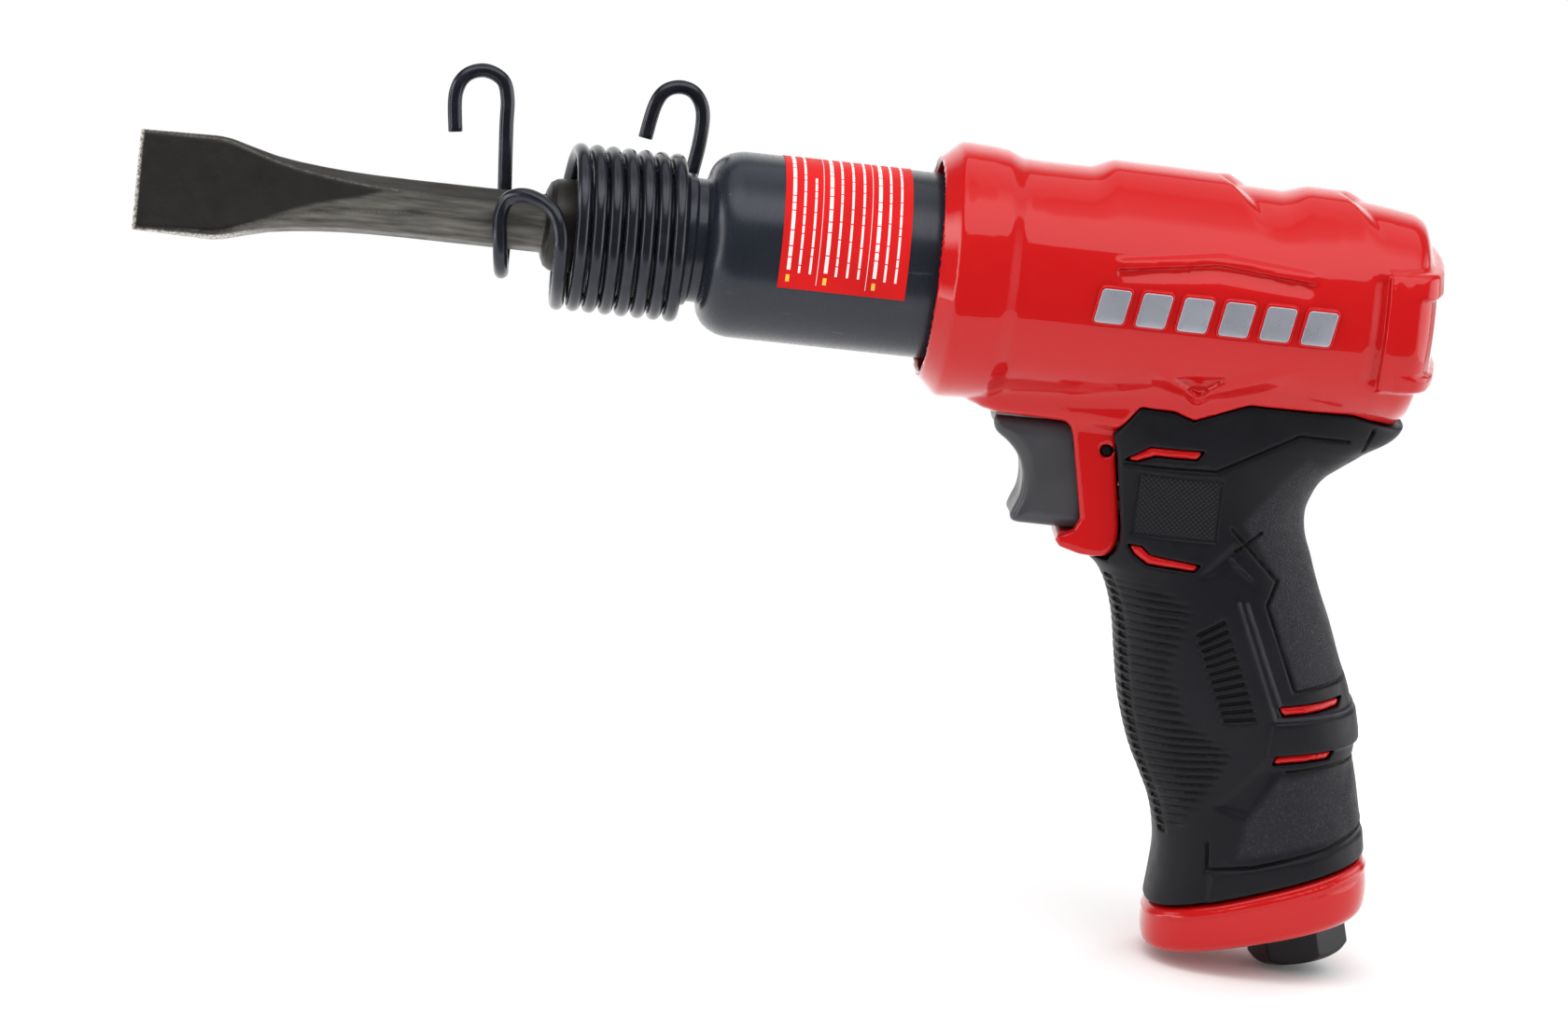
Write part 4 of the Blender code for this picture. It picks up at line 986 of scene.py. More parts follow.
def grip_distance(x, y, z):
    """The rubber sleeve, cut to the housing's and the post's edges, round its core."""
    outer = HANDLE.distance(x, y, z)
    cuts = grip_cuts(x, z, *grip_place(x, z))
    grip = outer - grip_relief(x, z) + CUT_DEPTH * cuts
    zone = [(x0, z0 - GAP) for x0, z0 in GRIP_LINE]
    zone += [(6.0, -23.6), (30.0, -106.0), (30.0, -108.0), (-75.0, -144.5), (-80.0, -57.6)]
    zone += [(x0 + GAP, z0) for x0, z0 in POST_LINE]
    grip = smooth_max(grip, to_outline(x, z, zone), 0.8)
    grip = smooth_max(grip, GAP - post_distance(x, y, z), 0.4)
    for outline in WINDOWS:
        slit = smooth_max(to_outline(x, z, outline) - SLIT_GAP, -outer - SLIT_DEPTH, 0.3)
        grip = smooth_max(grip, -slit, 0.5)
    core = np.maximum(to_outline(x, z, zone) - CORE_REACH, outer + CORE_DEPTH)
    core = np.maximum(core, np.maximum(np.abs(y) - CORE_HALF, CORE_FRONT - x))
    return np.minimum(grip, core)


def grip_shade(x, y, z):
    """1 in the cut lines, where painted shade darkens the rubber."""
    return np.clip(grip_cuts(x, z, *grip_place(x, z)), 0.0, 1.0)


CAP = OvalLoft(
    [
        ((-44.3, -134.7), (0.7, -118.9), 18.2, 2.5),
        ((-44.7, -135.6), (1.3, -119.9), 18.7, 2.5),
        ((-44.9, -137.4), (1.9, -121.9), 19.0, 2.5),
        ((-44.9, -139.8), (2.4, -124.4), 19.1, 2.5),
        ((-44.7, -141.6), (2.6, -127.2), 19.0, 2.5),
        ((-44.4, -142.8), (2.4, -129.6), 18.8, 2.5),
        ((-44.0, -143.7), (1.8, -131.4), 18.4, 2.5),
        ((-43.4, -144.4), (1.0, -132.2), 18.0, 2.5),
    ]
)
CAP_RIM = [(-48.0, -137.5), (4.0, -120.0)]
CAP_HOLE_R = 8.4


def inlet_axis():
    """Points into the tool from the inlet's end."""
    return Vector((-math.sin(INLET_TILT), 0.0, math.cos(INLET_TILT)))


def cap_distance(x, y, z):
    """The red cap under the grip, with a rim line and a hole for the bushing."""
    side = CAP.distance(x, y, z) - 0.28 * groove(x, z, CAP_RIM, 0.8)
    cap = smooth_max(side, CAP.above(x, z), 0.8)
    cap = smooth_max(cap, CAP.below(x, z), 2.4)
    axis = inlet_axis()
    dx, dz = x - INLET_END.x, z - INLET_END.z
    off = dx * axis.z - dz * axis.x
    return smooth_max(cap, CAP_HOLE_R - np.hypot(off, y), 0.3)


def leather_share(x, y, z):
    return np.maximum(*[panel(x, z, outline, 2.4) for outline in LEATHER])


# 1 along the twin ridges' crests, where the painted highlight goes.
def ridge_highlight(x, y, z):
    return np.maximum(*[groove(x, z, line, 0.45) for line in TWIN_RIDGES])


def make_shells():
    low, high = (MOUTH_X, HOUSING_LOW[1], -98.5), (2.0, HOUSING_HIGH[1], 27.6)
    shell = skin("housing_shell", housing_distance, low, high, 0.67)
    place_piece(shell, RED, "tool_body", "housing_red", "housing")
    grip = skin("grip_rubber_sleeve", grip_distance, (-76.5, -20.0, -139.0), (2.5, 20.0, -15.0), 0.40)
    thin(grip, MOST_TRIANGLES)
    point_values(grip, "cut", grip_shade)
    point_values(grip, "hatch", lambda x, y, z: panel(x, z, HATCH, 0.6))
    point_values(grip, "leather", leather_share)
    point_values(grip, "ridge", ridge_highlight)
    place_piece(grip, RUBBER, "tool_body", "grip_rubber", "grip_sleeve")
    cap = skin("base_cap_shell", cap_distance, (-47.0, -20.0, -144.0), (4.0, 20.0, -118.0), 0.42)
    place_piece(cap, CAP_RED, "tool_body", "cap_red", "base_cap")


# ---- small shells

FRONT_CURVE = [
    (-91.3, -29.7), (-91.7, -31.0), (-90.9, -33.4), (-88.0, -35.6), (-85.6, -38.2), (-84.3, -41.3),
    (-83.9, -44.2), (-84.1, -47.2), (-85.1, -50.0), (-85.5, -51.8), (-84.9, -52.8), (-83.5, -53.1),
]


TRIGGER_REAR = TRIGGER_HIGH[0] - 4.2
TRIGGER_ROUND = 3.6
TRIGGER_OUTLINE = [tuple(row) for row in curve_through(FRONT_CURVE, 4)]
TRIGGER_OUTLINE += [(TRIGGER_REAR, -53.0), (TRIGGER_REAR, -29.7)]
# The finger's hollow in the trigger's front: depth, half width, where it ends along X
HOLLOW_DEPTH, HOLLOW_HALF, HOLLOW_END = 0.45, 7.8, (-90.0, -76.0)
# The tongue behind the trigger, with the slot that the pin runs in
TONGUE = box_outline(-74.0, TRIGGER_HIGH[0], -37.2, -31.0)
TONGUE_HALF = 3.6
SLOT_R, SLOT_LENGTH = 1.5, 5.5


def trigger_distance(x, y, z):
    """The trigger with its tongue, slotted for the pin."""
    hollow = HOLLOW_DEPTH * (1.0 - ramp(np.abs(y), 0.0, HOLLOW_HALF)) * (1.0 - ramp(x, *HOLLOW_END))
    side = to_outline(x, z, TRIGGER_OUTLINE) + hollow
    trigger = smooth_max(side, np.abs(y) - TRIGGER_HIGH[1], TRIGGER_ROUND)
    tongue = np.maximum(to_outline(x, z, TONGUE), np.abs(y) - TONGUE_HALF)
    slot = to_segment(x, z, (PIN_X - SLOT_LENGTH, PIN_Z), (PIN_X, PIN_Z))[0] - SLOT_R
    return smooth_max(np.minimum(trigger, tongue), -slot, 0.3)


# x, half width of the blade, half thickness, the facets' cut across and through
CHISEL_STATIONS = [
    (-282.0, 11.0, 0.35, 0.2, 0.1),
    (-280.1, 11.1, 0.75, 0.4, 0.3),
    (-263.8, 11.15, 2.7, 0.9, 0.8),
    (-261.0, 10.8, 3.0, 1.0, 0.95),
    (-256.2, 9.35, 3.6, 1.3, 1.2),
    (-251.2, 8.0, 4.2, 1.7, 1.7),
    (-246.1, 7.2, 4.8, 2.2, 2.2),
    (-241.1, 6.7, 5.3, 2.6, 2.7),
    (-236.1, 6.35, 5.7, 3.0, 3.2),
    (-230.0, 6.1, 5.95, 3.4, 3.45),
    (-222.0, 6.0, 6.0, 3.52, 3.52),
    (-184.0, 6.0, 6.0, 3.52, 3.52),
]
# Up to this height across the blade, the stock's lower side is painted lighter, a painted reflection of
# the bright table
SHEEN_X = [-263.5, -257.0, -251.0, -242.0, -233.0, -228.0]
SHEEN_U = [-10.6, -7.9, -5.3, -1.9, 0.3, 2.2]
CHISEL_X, CHISEL_COLUMNS = blurred_table(CHISEL_STATIONS, 2.6)
TIP_LEAN = 0.02
BLADE_END = -188.0
RIDGE_WEAR, CORNER_WEAR = 0.12, 0.30
SHANK_PROFILE = [
    (-192.8, -1.0), (-192.8, 7.2), (-192.0, 9.0), (-190.8, 9.8), (-189.6, 10.0), (-186.4, 10.0),
    (-185.5, 9.4), (-185.5, 5.1), (SHANK_END - 1.0, 5.1), (SHANK_END, 4.2), (SHANK_END, -1.0),
]


def chisel_planes(x, u, v):
    """Distances to the chisel's edge sides, its flats and its facets."""
    wide, thick, cut_u, cut_v = [np.interp(x, CHISEL_X, column) for column in CHISEL_COLUMNS]
    edge = np.abs(u) - wide
    flat = np.abs(v) - thick
    facet = (edge * cut_v + (flat + cut_v) * cut_u) / np.hypot(cut_u, cut_v)
    return edge, flat, facet


def chisel_distance(x, u, v):
    """Blade, faceted stock, collar and round shank."""
    edge, flat, facet = chisel_planes(x, u, v)
    blade = smooth_max(smooth_max(edge, flat, 0.4), facet, 0.5)
    blade = smooth_max(blade, TIP_X - x + TIP_LEAN * np.abs(v), 0.2)
    blade = np.maximum(blade, x - BLADE_END)
    shank = to_outline(x, np.hypot(u, v), SHANK_PROFILE)
    return smooth_min(blade, shank, 0.6)


def chisel_wear(x, u, v):
    """Bright rubbed metal along the cutting edge, the blade's sides and its corners."""
    edge, flat, facet = chisel_planes(x, u, v)
    blade = 1.0 - ramp(x, -262.0, -250.0)
    tip = 1.0 - ramp(x, TIP_X + 0.3, TIP_X + 0.9)
    side = ramp(edge, -0.35, -0.08) * blade
    ridge = 1.0 - ramp(np.abs(flat - facet), 0.05, 0.3)
    ends = 1.0 - ramp(x, -226.0, -214.0)
    return np.clip(np.maximum.reduce([tip, side, RIDGE_WEAR * ridge * ends]), 0.0, 1.0)


def chisel_lower_sheen(x, u, v):
    """Painted reflection of the bright table as lighter metal on the lower facets, the stock and the far
    side, with a little wear at the facets' corners.
    """
    edge, flat, facet = chisel_planes(x, u, v)
    corner = ramp(np.maximum(facet, edge) - flat, -0.10, 0.25)
    lower = ramp(np.interp(x, SHEEN_X, SHEEN_U) - u, -0.3, 0.9)
    sheen_and_wear = np.maximum(lower, CORNER_WEAR * corner)
    return sheen_and_wear * (1.0 - ramp(x, -193.2, -192.6))


def in_inlet_axes(points):
    """Turns rows of (depth, across, along Y) into the frame's axes."""
    inward = np.array(inlet_axis())
    across = np.array((math.cos(INLET_TILT), 0.0, math.sin(INLET_TILT)))
    rows = points[:, :1] * inward + points[:, 1:2] * across
    rows[:, 1] += points[:, 2]
    return rows + np.array(INLET_END)


# The inlet bushing, by depth from its end face
HEX_TURN = 20.0
HEX_DEPTH = 8.1
HEX_CHAMFER_R, HEX_CHAMFER_SLOPE = 9.3, 1.1
NECK_R, NECK_START, NECK_END = 8.0, 6.0, 26.0
THREAD_PITCH, THREAD_DEPTH = 1.41, 0.28
SOCKET_R, SOCKET_TAPER, SOCKET_DEPTH = 6.55, 0.055, 13.3
SOCKET_CHAMFER_R, SOCKET_CHAMFER_SLOPE = 6.9, 0.8
PASSAGE_R, PASSAGE_START = 4.6, 12.0


def bushing_distance(depth, across, y):
    """The hexagon bushing, in depth from its end face and two sideways axes."""
    radius = np.hypot(across, y)
    hexagon = -np.inf
    for index in range(3):
        turn = math.radians(HEX_TURN + 60.0 * index)
        facing = np.abs(across * math.cos(turn) + y * math.sin(turn)) - HEX_FLAT
        hexagon = np.maximum(hexagon, facing)
    cone = radius - HEX_CHAMFER_R - np.maximum(depth, 0.0) * HEX_CHAMFER_SLOPE
    head = smooth_max(smooth_max(hexagon, cone, 0.5), -depth, 0.6)
    head = smooth_max(head, depth - HEX_DEPTH, 0.4)
    neck = np.maximum(radius - NECK_R, np.maximum(depth - NECK_END, NECK_START - depth))
    thread = 2.0 * THREAD_DEPTH * np.abs(np.mod(depth / THREAD_PITCH, 1.0) - 0.5)
    socket = radius - SOCKET_R + SOCKET_TAPER * depth + thread
    chamfer = radius - SOCKET_CHAMFER_R + SOCKET_CHAMFER_SLOPE * np.maximum(depth, 0.0)
    socket = np.maximum(np.minimum(socket, chamfer), depth - SOCKET_DEPTH)
    passage = np.maximum(radius - PASSAGE_R, PASSAGE_START - depth)
    return smooth_max(np.minimum(head, neck), -np.minimum(socket, passage), 0.2)


def in_chisel_axes(points):
    """Turns rows of (x, across the blade, through it) into the frame's axes."""
    u_axis = np.array((0.0, math.sin(CHISEL_TURN), math.cos(CHISEL_TURN)))
    v_axis = np.array((0.0, -math.cos(CHISEL_TURN), math.sin(CHISEL_TURN)))
    rows = points[:, 1:2] * u_axis + points[:, 2:3] * v_axis
    rows[:, 0] += points[:, 0]
    return rows


def make_small_shells():
    low, high = (-92.0, -7.9, -53.4), (TRIGGER_HIGH[0], 7.9, -29.6)
    trigger = skin("trigger_lever", trigger_distance, low, high, 0.34)
    place_piece(trigger, TRIGGER, "trigger_body", "trigger_gray", "trigger")
    chisel = skin("flat_chisel", chisel_distance, (TIP_X, -11.4, -10.2), (SHANK_END, 11.4, 10.2), 0.34)
    point_values(chisel, "wear", chisel_wear)
    point_values(chisel, "facet", chisel_lower_sheen)
    transform_points(chisel, in_chisel_axes)
    place_piece(chisel, CHISEL, "chisel_body", "chisel_steel", "chisel")
    bushing = skin("inlet_hexagon", bushing_distance, (0.0, -11.0, -11.0), (26.0, 11.0, 11.0), 0.36)
    transform_points(bushing, in_inlet_axes)
    place_piece(bushing, INLET, "tool_body", "inlet_black", "inlet_bushing")


# ---- turned and bent metal


SHOULDER_STEPS = 12
SHOULDER_X, SHOULDER_LENGTH, SHOULDER_R = -158.2, 7.6, 14.1
NOSE_OUTLINE = [
    (NOSE_FRONT, 6.2), (NOSE_FRONT, 12.6), (NOSE_FRONT + 1.2, NOSE_R), (-163.2, NOSE_R),
    (-162.8, 14.2), (-161.2, 14.2), (-160.8, 13.3), (-158.5, 13.3),
]
REAR_OUTLINE = [
    (-93.6, BARREL_R), (-93.6, 17.0), (BARREL_REAR - 1.0, 17.0), (BARREL_REAR, 16.0),
    (BARREL_REAR, 9.7), (-157.0, 9.7), (-158.8, 5.4), (NOSE_FRONT + 0.8, 5.4),
]


def barrel_profile():
    """The barrel's closed profile of (x, radius): nose, round shoulder, body and bore."""
    shoulder = []
    for turn in np.linspace(0.0, math.pi / 2.0, SHOULDER_STEPS + 1):
        x = SHOULDER_X + SHOULDER_LENGTH * (1.0 - math.cos(turn))
        shoulder.append((x, SHOULDER_R + (BARREL_R - SHOULDER_R) * math.sin(turn)))
    return rounded(NOSE_OUTLINE, 0.35, 4)[2:] + shoulder + rounded(REAR_OUTLINE, 0.25, 3)


def make_barrel():
    barrel = sharpen(turned("barrel_tube", barrel_profile(), 144), 40.0)
    place_piece(barrel, BLACK, "tool_body", "barrel_black", "barrel")


FRONT_WIRE = [
    (-213.1, 8.3, 17.8), (-213.9, 8.3, 25.5), (-212.2, 8.3, 29.8), (-208.2, 8.3, 31.4),
    (-204.2, 8.3, 29.8), (-202.7, 8.3, 26.0), (-202.3, 8.3, 20.0), (-201.5, 8.3, 10.0),
    (-200.8, 8.3, 2.0), (-200.3, 8.2, -4.0), (-200.3, 6.0, -9.0), (-200.7, 0.0, -11.2),
    (-201.6, -6.0, -9.0), (-202.4, -8.2, -4.0), (-202.8, -8.4, 0.5), (-201.6, -9.6, 4.2),
    (-198.6, -11.6, 5.4), (-195.2, -13.4, 4.6), (-192.0, -15.2, 2.4), (-190.2, -16.2, -1.5),
    (-189.6, -15.4, -6.0), (-189.0, -10.6, -12.6),
]
REAR_HOOK = [
    (-162.4, 16.4, 5.0), (-160.9, 16.5, 14.0), (-159.8, 16.5, 22.0), (-159.9, 16.5, 28.0),
    (-162.0, 16.5, 31.6), (-165.2, 16.5, 32.6), (-168.4, 16.5, 31.4), (-170.3, 16.5, 28.0),
    (-171.6, 16.5, 21.0),
]
COIL_STEPS = 14
COIL_EXTRA_STEPS = 4


def make_retainer():
    """Front hook, loop round the chisel, coil and rear hook as one wire."""
    pitch = (COIL_REAR - COIL_FRONT) / COIL_TURNS
    count = COIL_TURNS * COIL_STEPS + COIL_EXTRA_STEPS
    turn = math.pi / 2.0 + 2.0 * math.pi * np.arange(count) / COIL_STEPS
    x = COIL_FRONT + pitch * np.arange(count) / COIL_STEPS
    coil = np.stack([x, -COIL_R * np.cos(turn), -COIL_R * np.sin(turn)], axis=1)
    path = curve_through(FRONT_WIRE + coil.tolist() + REAR_HOOK, 6)
    c, s = math.cos(RETAINER_TURN), math.sin(RETAINER_TURN)
    tilted = path @ np.array([(1.0, 0.0, 0.0), (0.0, c, -s), (0.0, s, c)])
    wire = sharpen(swept("retainer_wire", tilted, WIRE_R, 20), 50.0)
    place_piece(wire, WIRE, "retainer_body", "wire_black", "retainer_spring")


SPRING_LOW, SPRING_HIGH = corners("throttle_spring")
SPRING_WIRE = 0.42
SPRING_START = SPRING_LOW[0] + SPRING_WIRE
SPRING_END = SPRING_HIGH[0] - SPRING_WIRE
SPRING_Z = (SPRING_LOW[2] + SPRING_HIGH[2]) / 2.0
SPRING_R = (SPRING_HIGH[2] - SPRING_LOW[2]) / 2.0 - SPRING_WIRE
SPRING_TURNS = 6
SPRING_STEPS = 20


def make_throttle_spring():
    """The throttle's spring as a fixed coil in the CAD spring's place. The real one shortens as the
    trigger is pulled.
    """
    count = SPRING_TURNS * SPRING_STEPS
    turn = 2.0 * math.pi * np.arange(count + 1) / SPRING_STEPS
    x = SPRING_START + (SPRING_END - SPRING_START) * np.arange(count + 1) / count
    path = np.stack([x, SPRING_R * np.cos(turn), SPRING_Z + SPRING_R * np.sin(turn)], axis=1)
    spring = sharpen(swept("throttle_coil", path, SPRING_WIRE, 8), 50.0)
    place_piece(spring, BRIGHT, "tool_body", "bright_steel", "throttle_spring")
    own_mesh(spring)


# ---- label and badge

LABEL_SPAN = (-10.5, 132.0)
# Rows of the label: low and high edge, where the row starts and ends in degrees
RULES = [
    (-141.55, -140.75, 1.5, 126.0),
    (-139.10, -138.60, 0.0, 126.0),
    (-136.75, -136.25, 0.0, 66.0),
    (-133.55, -132.75, 1.5, 126.0),
    (-131.15, -130.65, 0.0, 126.0),
    (-128.75, -128.25, 0.0, 126.0),
    (-126.35, -125.85, 0.0, 120.0),
    (-123.05, -122.25, 1.5, 126.0),
    (-120.65, -120.15, 0.0, 126.0),
    (-118.30, -117.80, 0.0, 108.0),
]
# Thin rules between the blocks of rows, each with its half width and span in degrees
SEPARATORS = [-134.9, -124.3]
SEPARATOR_HALF = 0.06
SEPARATOR_SPAN = (-7.0, 128.0)
# Rows above this height start with a mark
HEADING_HEIGHT = 0.6
MARK_SPAN = (-6.0, -1.4)
LABEL_STEP = 1.5
DASH_STEPS = (3, 9)
LABEL_TOP, LABEL_BOTTOM, LABEL_FACE = 0.16, 0.02, 0.12


def label_breaks():
    """Places along the barrel where the label changes between ground and print."""
    breaks = {LABEL_LOW[0], LABEL_HIGH[0]}
    for low, high, _, _ in RULES:
        breaks |= {low, high}
    for middle in SEPARATORS:
        breaks |= {middle - SEPARATOR_HALF, middle + SEPARATOR_HALF}
    return sorted(breaks)


def row_dashes():
    """Each row of the label as plain dashes of uneven length, in steps of the grid."""
    source = random.Random(7)
    rows = []
    for low, high, start, end in RULES:
        dashes = []
        at = start
        while at < end:
            length = LABEL_STEP * source.randint(*DASH_STEPS)
            dashes.append((at, min(at + length, end)))
            at += length + LABEL_STEP / 2.0
        rows.append((low, high, dashes))
    return rows


def print_kind(x, degrees, rows):
    """0 for the label's ground, 1 for its pale dashes and rules, 2 for its marks."""
    if any(abs(x - middle) < SEPARATOR_HALF for middle in SEPARATORS):
        return int(SEPARATOR_SPAN[0] < degrees < SEPARATOR_SPAN[1])
    for low, high, dashes in rows:
        if low < x < high:
            if high - low > HEADING_HEIGHT and MARK_SPAN[0] < degrees < MARK_SPAN[1]:
                return 2
            return int(any(start < degrees < end for start, end in dashes))
    return 0


def make_label():
    """A thin skin bent round the barrel, with its rules as faces of their own."""
    breaks = label_breaks()
    turns = np.radians(np.arange(LABEL_SPAN[0], LABEL_SPAN[1] + 0.1, LABEL_STEP / 2.0))
    rings = []
    for radius in (BARREL_R + LABEL_TOP, BARREL_R + LABEL_BOTTOM):
        for x in breaks:
            ring = [np.full(len(turns), x), -radius * np.cos(turns), radius * np.sin(turns)]
            rings.append(np.stack(ring, axis=1))
    count = len(breaks)
    order = list(range(count)) + list(range(2 * count - 1, count - 1, -1))
    points = np.vstack([rings[index] for index in order])
    faces = grid_faces(2 * count, len(turns), True, False)
    label = sharpen(mesh_piece("barrel_sticker", points, faces), 40.0)
    place_piece(label, LABEL, "tool_body", "label_red", "barrel_label")
    label.data.materials.append(PRINT)
    label.data.materials.append(MARK)
    rows = row_dashes()
    for face in label.data.polygons:
        center = face.center / MM
        if math.hypot(center.y, center.z) > BARREL_R + LABEL_FACE:
            degrees = math.degrees(math.atan2(center.z, -center.y))
            face.material_index = print_kind(center.x, degrees, rows)


BADGE_BARS = 6
BADGE_MARGIN = 0.5
BADGE_SPACE = 1.4
BADGE_LEAN = 1.2
BADGE_ROUND = 0.9
# How much wider than the bar each piece is, then its (inset, distance from the middle)
BADGE_LEVELS = {
    "rim": (0.55, [(0.0, 23.2), (0.0, 25.55), (0.12, 25.72), (0.3, 25.78), (2.6, 25.78)]),
    "bar": (0.0, [(0.0, 25.6), (0.0, 26.05), (0.08, 26.14), (0.2, 26.17), (2.2, 26.17)]),
}


def bar_outline(left, right, grow):
    low = BADGE_LOW[2] + BADGE_MARGIN - grow
    high = BADGE_HIGH[2] - BADGE_MARGIN + grow
    left, right = left - grow, right + grow
    slanted = [(left, low), (right, low), (right + BADGE_LEAN, high), (left + BADGE_LEAN, high)]
    return rounded(slanted, BADGE_ROUND + grow, 5)


def bar_rows(outline, sign, levels):
    """Rings of the outline at each (inset, |y|) level, shrunk towards its middle."""
    rows = np.array(outline)
    middle = rows.mean(axis=0)
    made = []
    for inset, y in levels:
        away = rows - middle
        size = np.abs(away).max(axis=0)
        shrunk = middle + away * (1.0 - inset / size)
        ring = [shrunk[:, 0], np.full(len(rows), sign * y), shrunk[:, 1]]
        made.append(np.stack(ring, axis=1))
    return made


def make_badge(sign, side):
    pitch = (BADGE_HIGH[0] - BADGE_LOW[0]) / BADGE_BARS
    for kind, (grow, levels) in BADGE_LEVELS.items():
        points, faces, start = [], [], 0
        for index in range(BADGE_BARS):
            left = BADGE_LOW[0] + BADGE_MARGIN + pitch * index
            outline = bar_outline(left, left + pitch - BADGE_LEAN - BADGE_SPACE, grow)
            rows = bar_rows(outline, sign, levels)
            points += rows
            made = grid_faces(len(rows), len(outline), False, True) + start
            faces.append(made[:, ::-1] if sign < 0 else made)
            start += len(rows) * len(outline)
        piece = mesh_piece(f"badge_{side}_{kind}", np.vstack(points), np.vstack(faces))
        close_ends(piece)
        sharpen(piece, 50.0)
        material, slot = (RED, "housing_red") if kind == "rim" else (SILVER, "badge_silver")
        place_piece(piece, material, "tool_body", slot, f"badge_{side}")


def close_ends(piece):
    """Fills every open ring of the piece with a face."""
    work = bmesh.new()
    work.from_mesh(piece.data)
    open_edges = [edge for edge in work.edges if edge.is_boundary]
    bmesh.ops.holes_fill(work, edges=open_edges, sides=0)
    bmesh.ops.recalc_face_normals(work, faces=work.faces)
    work.to_mesh(piece.data)
    work.free()
    piece.data.shade_smooth()


def dress_cad_nodes():
    """Materials of the CAD nodes that stay as they are."""
    finishes = {
        BRIGHT: ("piston", "inlet_screen", "throttle_stem", "valve_disc", "valve_dowel"),
        HARD: ("valve_block", "valve_cap"),
        BRASS: ("throttle_bushing",),
        PIN: ("trigger_pin",),
        SEAL: ("barrel_seal", "inlet_o_ring", "throttle_o_ring", "throttle_poppet", "rear_gasket"),
    }
    for material, names in finishes.items():
        for name in names:
            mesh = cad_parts[name].data
            mesh.materials.clear()
            mesh.materials.append(material)


# ---- stage


# The floor's edges in metres, and its drop below the tool
FLOOR_X, FLOOR_Y = (-0.62, 0.34), (-0.285, 0.285)
FLOOR_DROP = 0.0005


def make_stage():
    """A pale table top just under the tool. The white studio goes on beyond its edges."""
    floor_z = CAD_BOX[0][2] - FLOOR_DROP
    rows = [(x, y, floor_z) for x in FLOOR_X for y in FLOOR_Y]
    floor = mesh_piece("floor", np.array(rows) / MM, np.array([[0, 2, 3, 1]]))
    paper = Shader("floor_paper", (0.93, 0.93, 0.93), 0.9)
    paper.mottle(3.0, 0.3, 0.7, (0.90, 0.90, 0.90), 1.0)
    floor.data.materials.append(paper.material)


# Soft lights: name, place in metres, size, power
LAMPS = [
    ("top_softbox", (-0.35, -0.35, 1.2), (1.1, 0.6), 6.0),
    ("rear_softbox", (0.7, 0.9, 0.6), (0.5, 0.9), 3.0),
]
LAMP_TARGET = (-0.12, 0.0, -0.03)


def area_light(name, place, size, power):
    data = bpy.data.lights.new(name, "AREA")
    data.shape = "RECTANGLE"
    data.size, data.size_y = size
    data.energy = power
    lamp = bpy.data.objects.new(name, data)
    lamp.location = place
    lamp.rotation_euler = (Vector(LAMP_TARGET) - Vector(place)).to_track_quat("-Z", "Y").to_euler()
    lamp.visible_glossy = False
    bpy.context.scene.collection.objects.link(lamp)


# Brightness of the studio by the sine of the height above the horizon: table,
# dark room, long softbox, ceiling
STUDIO_BANDS = [
    (-1.0, 0.85),
    (-0.56, 0.85),
    (-0.53, 0.05),
    (0.705, 0.06),
    (0.72, 2.5),
    (0.972, 2.5),
    (0.980, 1.2),
    (1.0, 1.2),
]
# White cards beside the tool: axis, where each starts and is full, brightness
CARDS = [("X", 0.72, 0.90, 3.0), ("Y", 0.72, 0.90, 1.3)]
# The card in front of the tool is a ring: where its outer and inner edges fade in,
# brightness
RING_OUTER, RING_INNER, RING_LEVEL = (-0.86, -0.92), (-0.975, -0.955), 5.0
# Behind the tool the softbox is dimmed to a share, except above a height
FAR_SHARE = 0.35
FAR_EDGE = (-0.15, 0.15)
FAR_TOP = (0.50, 0.65)
FILL_LEVELS = (0.75, 1.30)


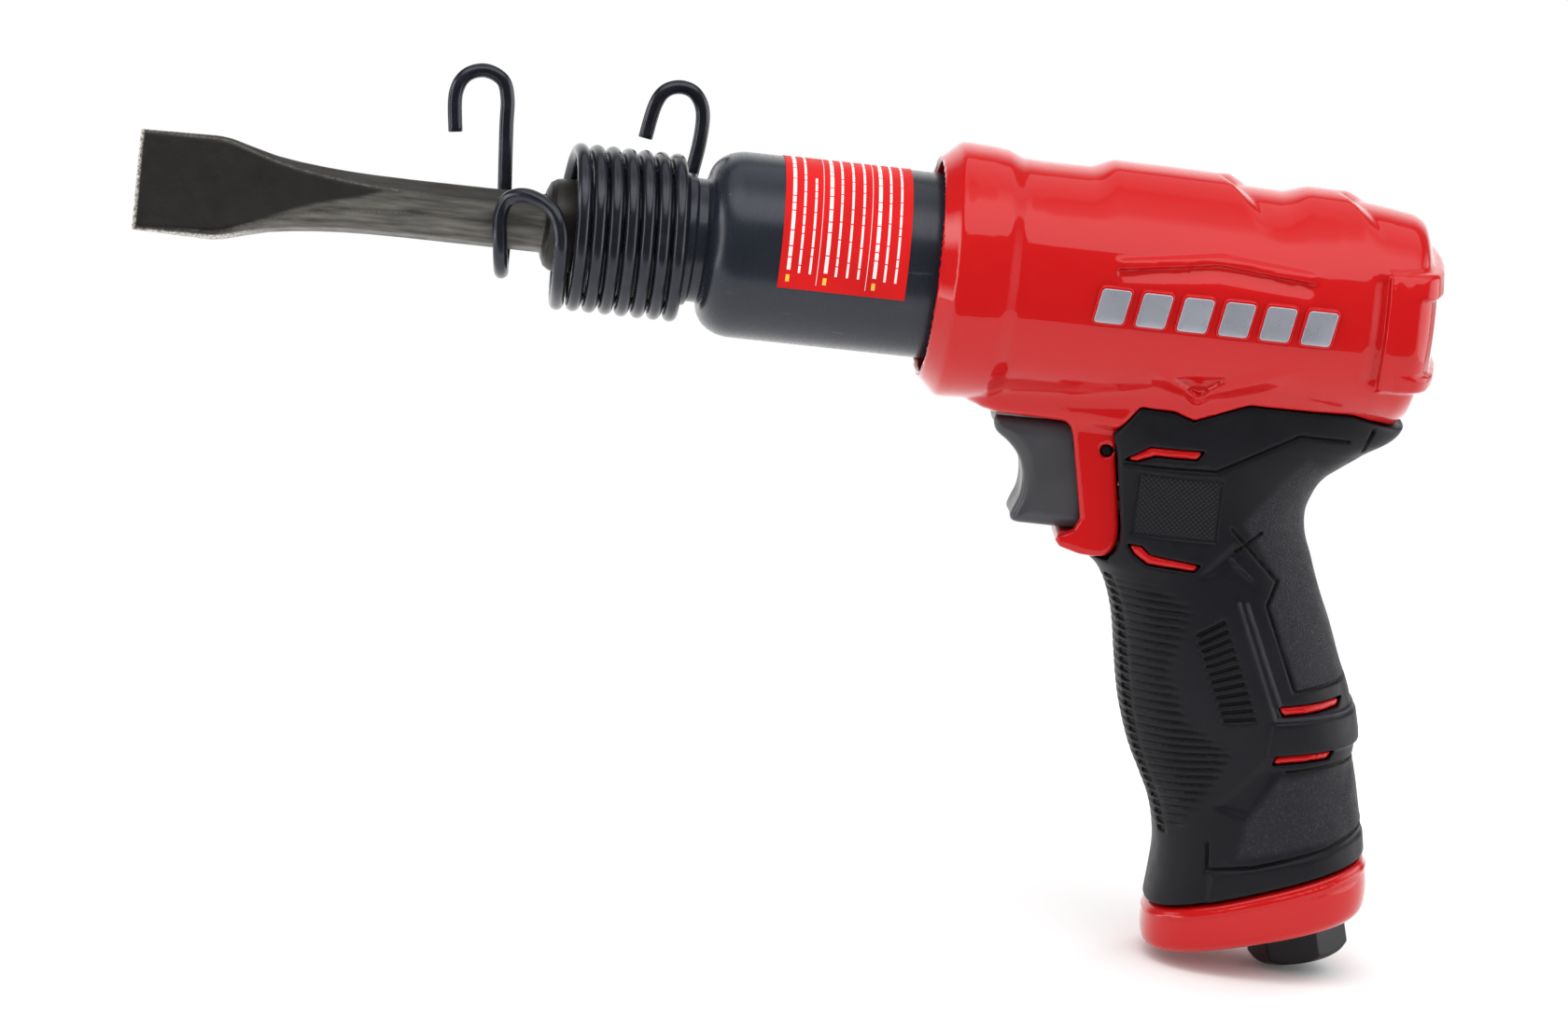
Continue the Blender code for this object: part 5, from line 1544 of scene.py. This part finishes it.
def make_world():
    """A white studio. Gloss reflects its bands, and matt surfaces get an even fill."""
    world = bpy.data.worlds.new("studio")
    world.use_nodes = True
    world.cycles.sampling_method = "NONE"
    made = Nodes(world.node_tree)
    generated = made.node("ShaderNodeTexCoord").outputs["Generated"]
    toward = made.node("ShaderNodeSeparateXYZ", {"Vector": generated}).outputs
    bands = made.node("ShaderNodeValToRGB", {"Fac": made.band(toward["Z"], -1.0, 1.0)})
    stops = bands.color_ramp.elements
    while len(stops) < len(STUDIO_BANDS):
        stops.new(0.5)
    for stop, (height, level) in zip(stops, STUDIO_BANDS):
        stop.position = (height + 1.0) / 2.0
        stop.color = (level, level, level, 1.0)
    near = made.band(toward["Y"], *FAR_EDGE, 1.0, FAR_SHARE)
    low = made.band(toward["Z"], *FAR_TOP, 1.0, 0.0)
    gloss = made.math("MULTIPLY", bands.outputs["Color"], made.math("MAXIMUM", near, low))
    for axis, start, full, level in CARDS:
        gloss = made.math("MAXIMUM", gloss, made.band(toward[axis], start, full, 0.0, level))
    ring = [made.band(toward["X"], *edge, 0.0, RING_LEVEL) for edge in (RING_OUTER, RING_INNER)]
    seen = made.math("MAXIMUM", gloss, made.math("MINIMUM", *ring))
    fill = made.band(toward["Z"], -1.0, 1.0, *FILL_LEVELS)
    rays = made.node("ShaderNodeLightPath").outputs
    for ray, level in (("Is Diffuse Ray", fill), ("Is Camera Ray", 1.0)):
        feeds = {"Factor": rays[ray], "A": seen, "B": level}
        seen = made.node("ShaderNodeMix", feeds, data_type="FLOAT").outputs["Result"]
    background = world.node_tree.nodes["Background"]
    made.feed(seen, background.inputs["Strength"])
    made.feed((1.0, 1.0, 1.0, 1.0), background.inputs["Color"])
    bpy.context.scene.world = world


def make_lights():
    for lamp in LAMPS:
        area_light(*lamp)
    make_world()
    bpy.context.scene.view_settings.view_transform = "Standard"


CAMERA_TURN = math.radians(5.5)
CAMERA_LIFT = math.radians(14.0)
CAMERA_ROLL = math.radians(6.16)
CAMERA_DISTANCE = 4.0
FRAME_WIDTH = 0.3374
FRAME_CENTER = (-0.1340, -0.0567)


def spun(right, up, angle):
    """Both directions turned in their own plane."""
    cosine, sine = math.cos(angle), math.sin(angle)
    return right * cosine + up * sine, up * cosine - right * sine


def make_camera():
    """The camera stands 14 degrees above the side view, 5.5 degrees to the front."""
    flat = math.cos(CAMERA_LIFT)
    look = Vector((math.sin(CAMERA_TURN) * flat, math.cos(CAMERA_TURN) * flat, -math.sin(CAMERA_LIFT)))
    right = Vector((math.cos(CAMERA_TURN), -math.sin(CAMERA_TURN), 0.0))
    up = right.cross(look)
    barrel_right, barrel_up = spun(right, up, math.atan2(up.x, right.x))
    center = barrel_right * FRAME_CENTER[0] + barrel_up * FRAME_CENTER[1]
    across, upright = spun(barrel_right, barrel_up, CAMERA_ROLL)
    data = bpy.data.cameras.new("camera")
    data.lens = data.sensor_width * CAMERA_DISTANCE / FRAME_WIDTH
    data.clip_end = 20.0
    camera = bpy.data.objects.new("camera", data)
    turn = Matrix((across, upright, -look)).transposed().to_4x4()
    camera.matrix_world = Matrix.Translation(center - look * CAMERA_DISTANCE) @ turn
    bpy.context.scene.collection.objects.link(camera)
    bpy.context.scene.camera = camera


make_stage()
make_lights()
make_camera()
make_shells()
make_small_shells()
make_barrel()
make_retainer()
make_throttle_spring()
make_label()
make_badge(-1.0, "near")
make_badge(1.0, "far")
dress_cad_nodes()
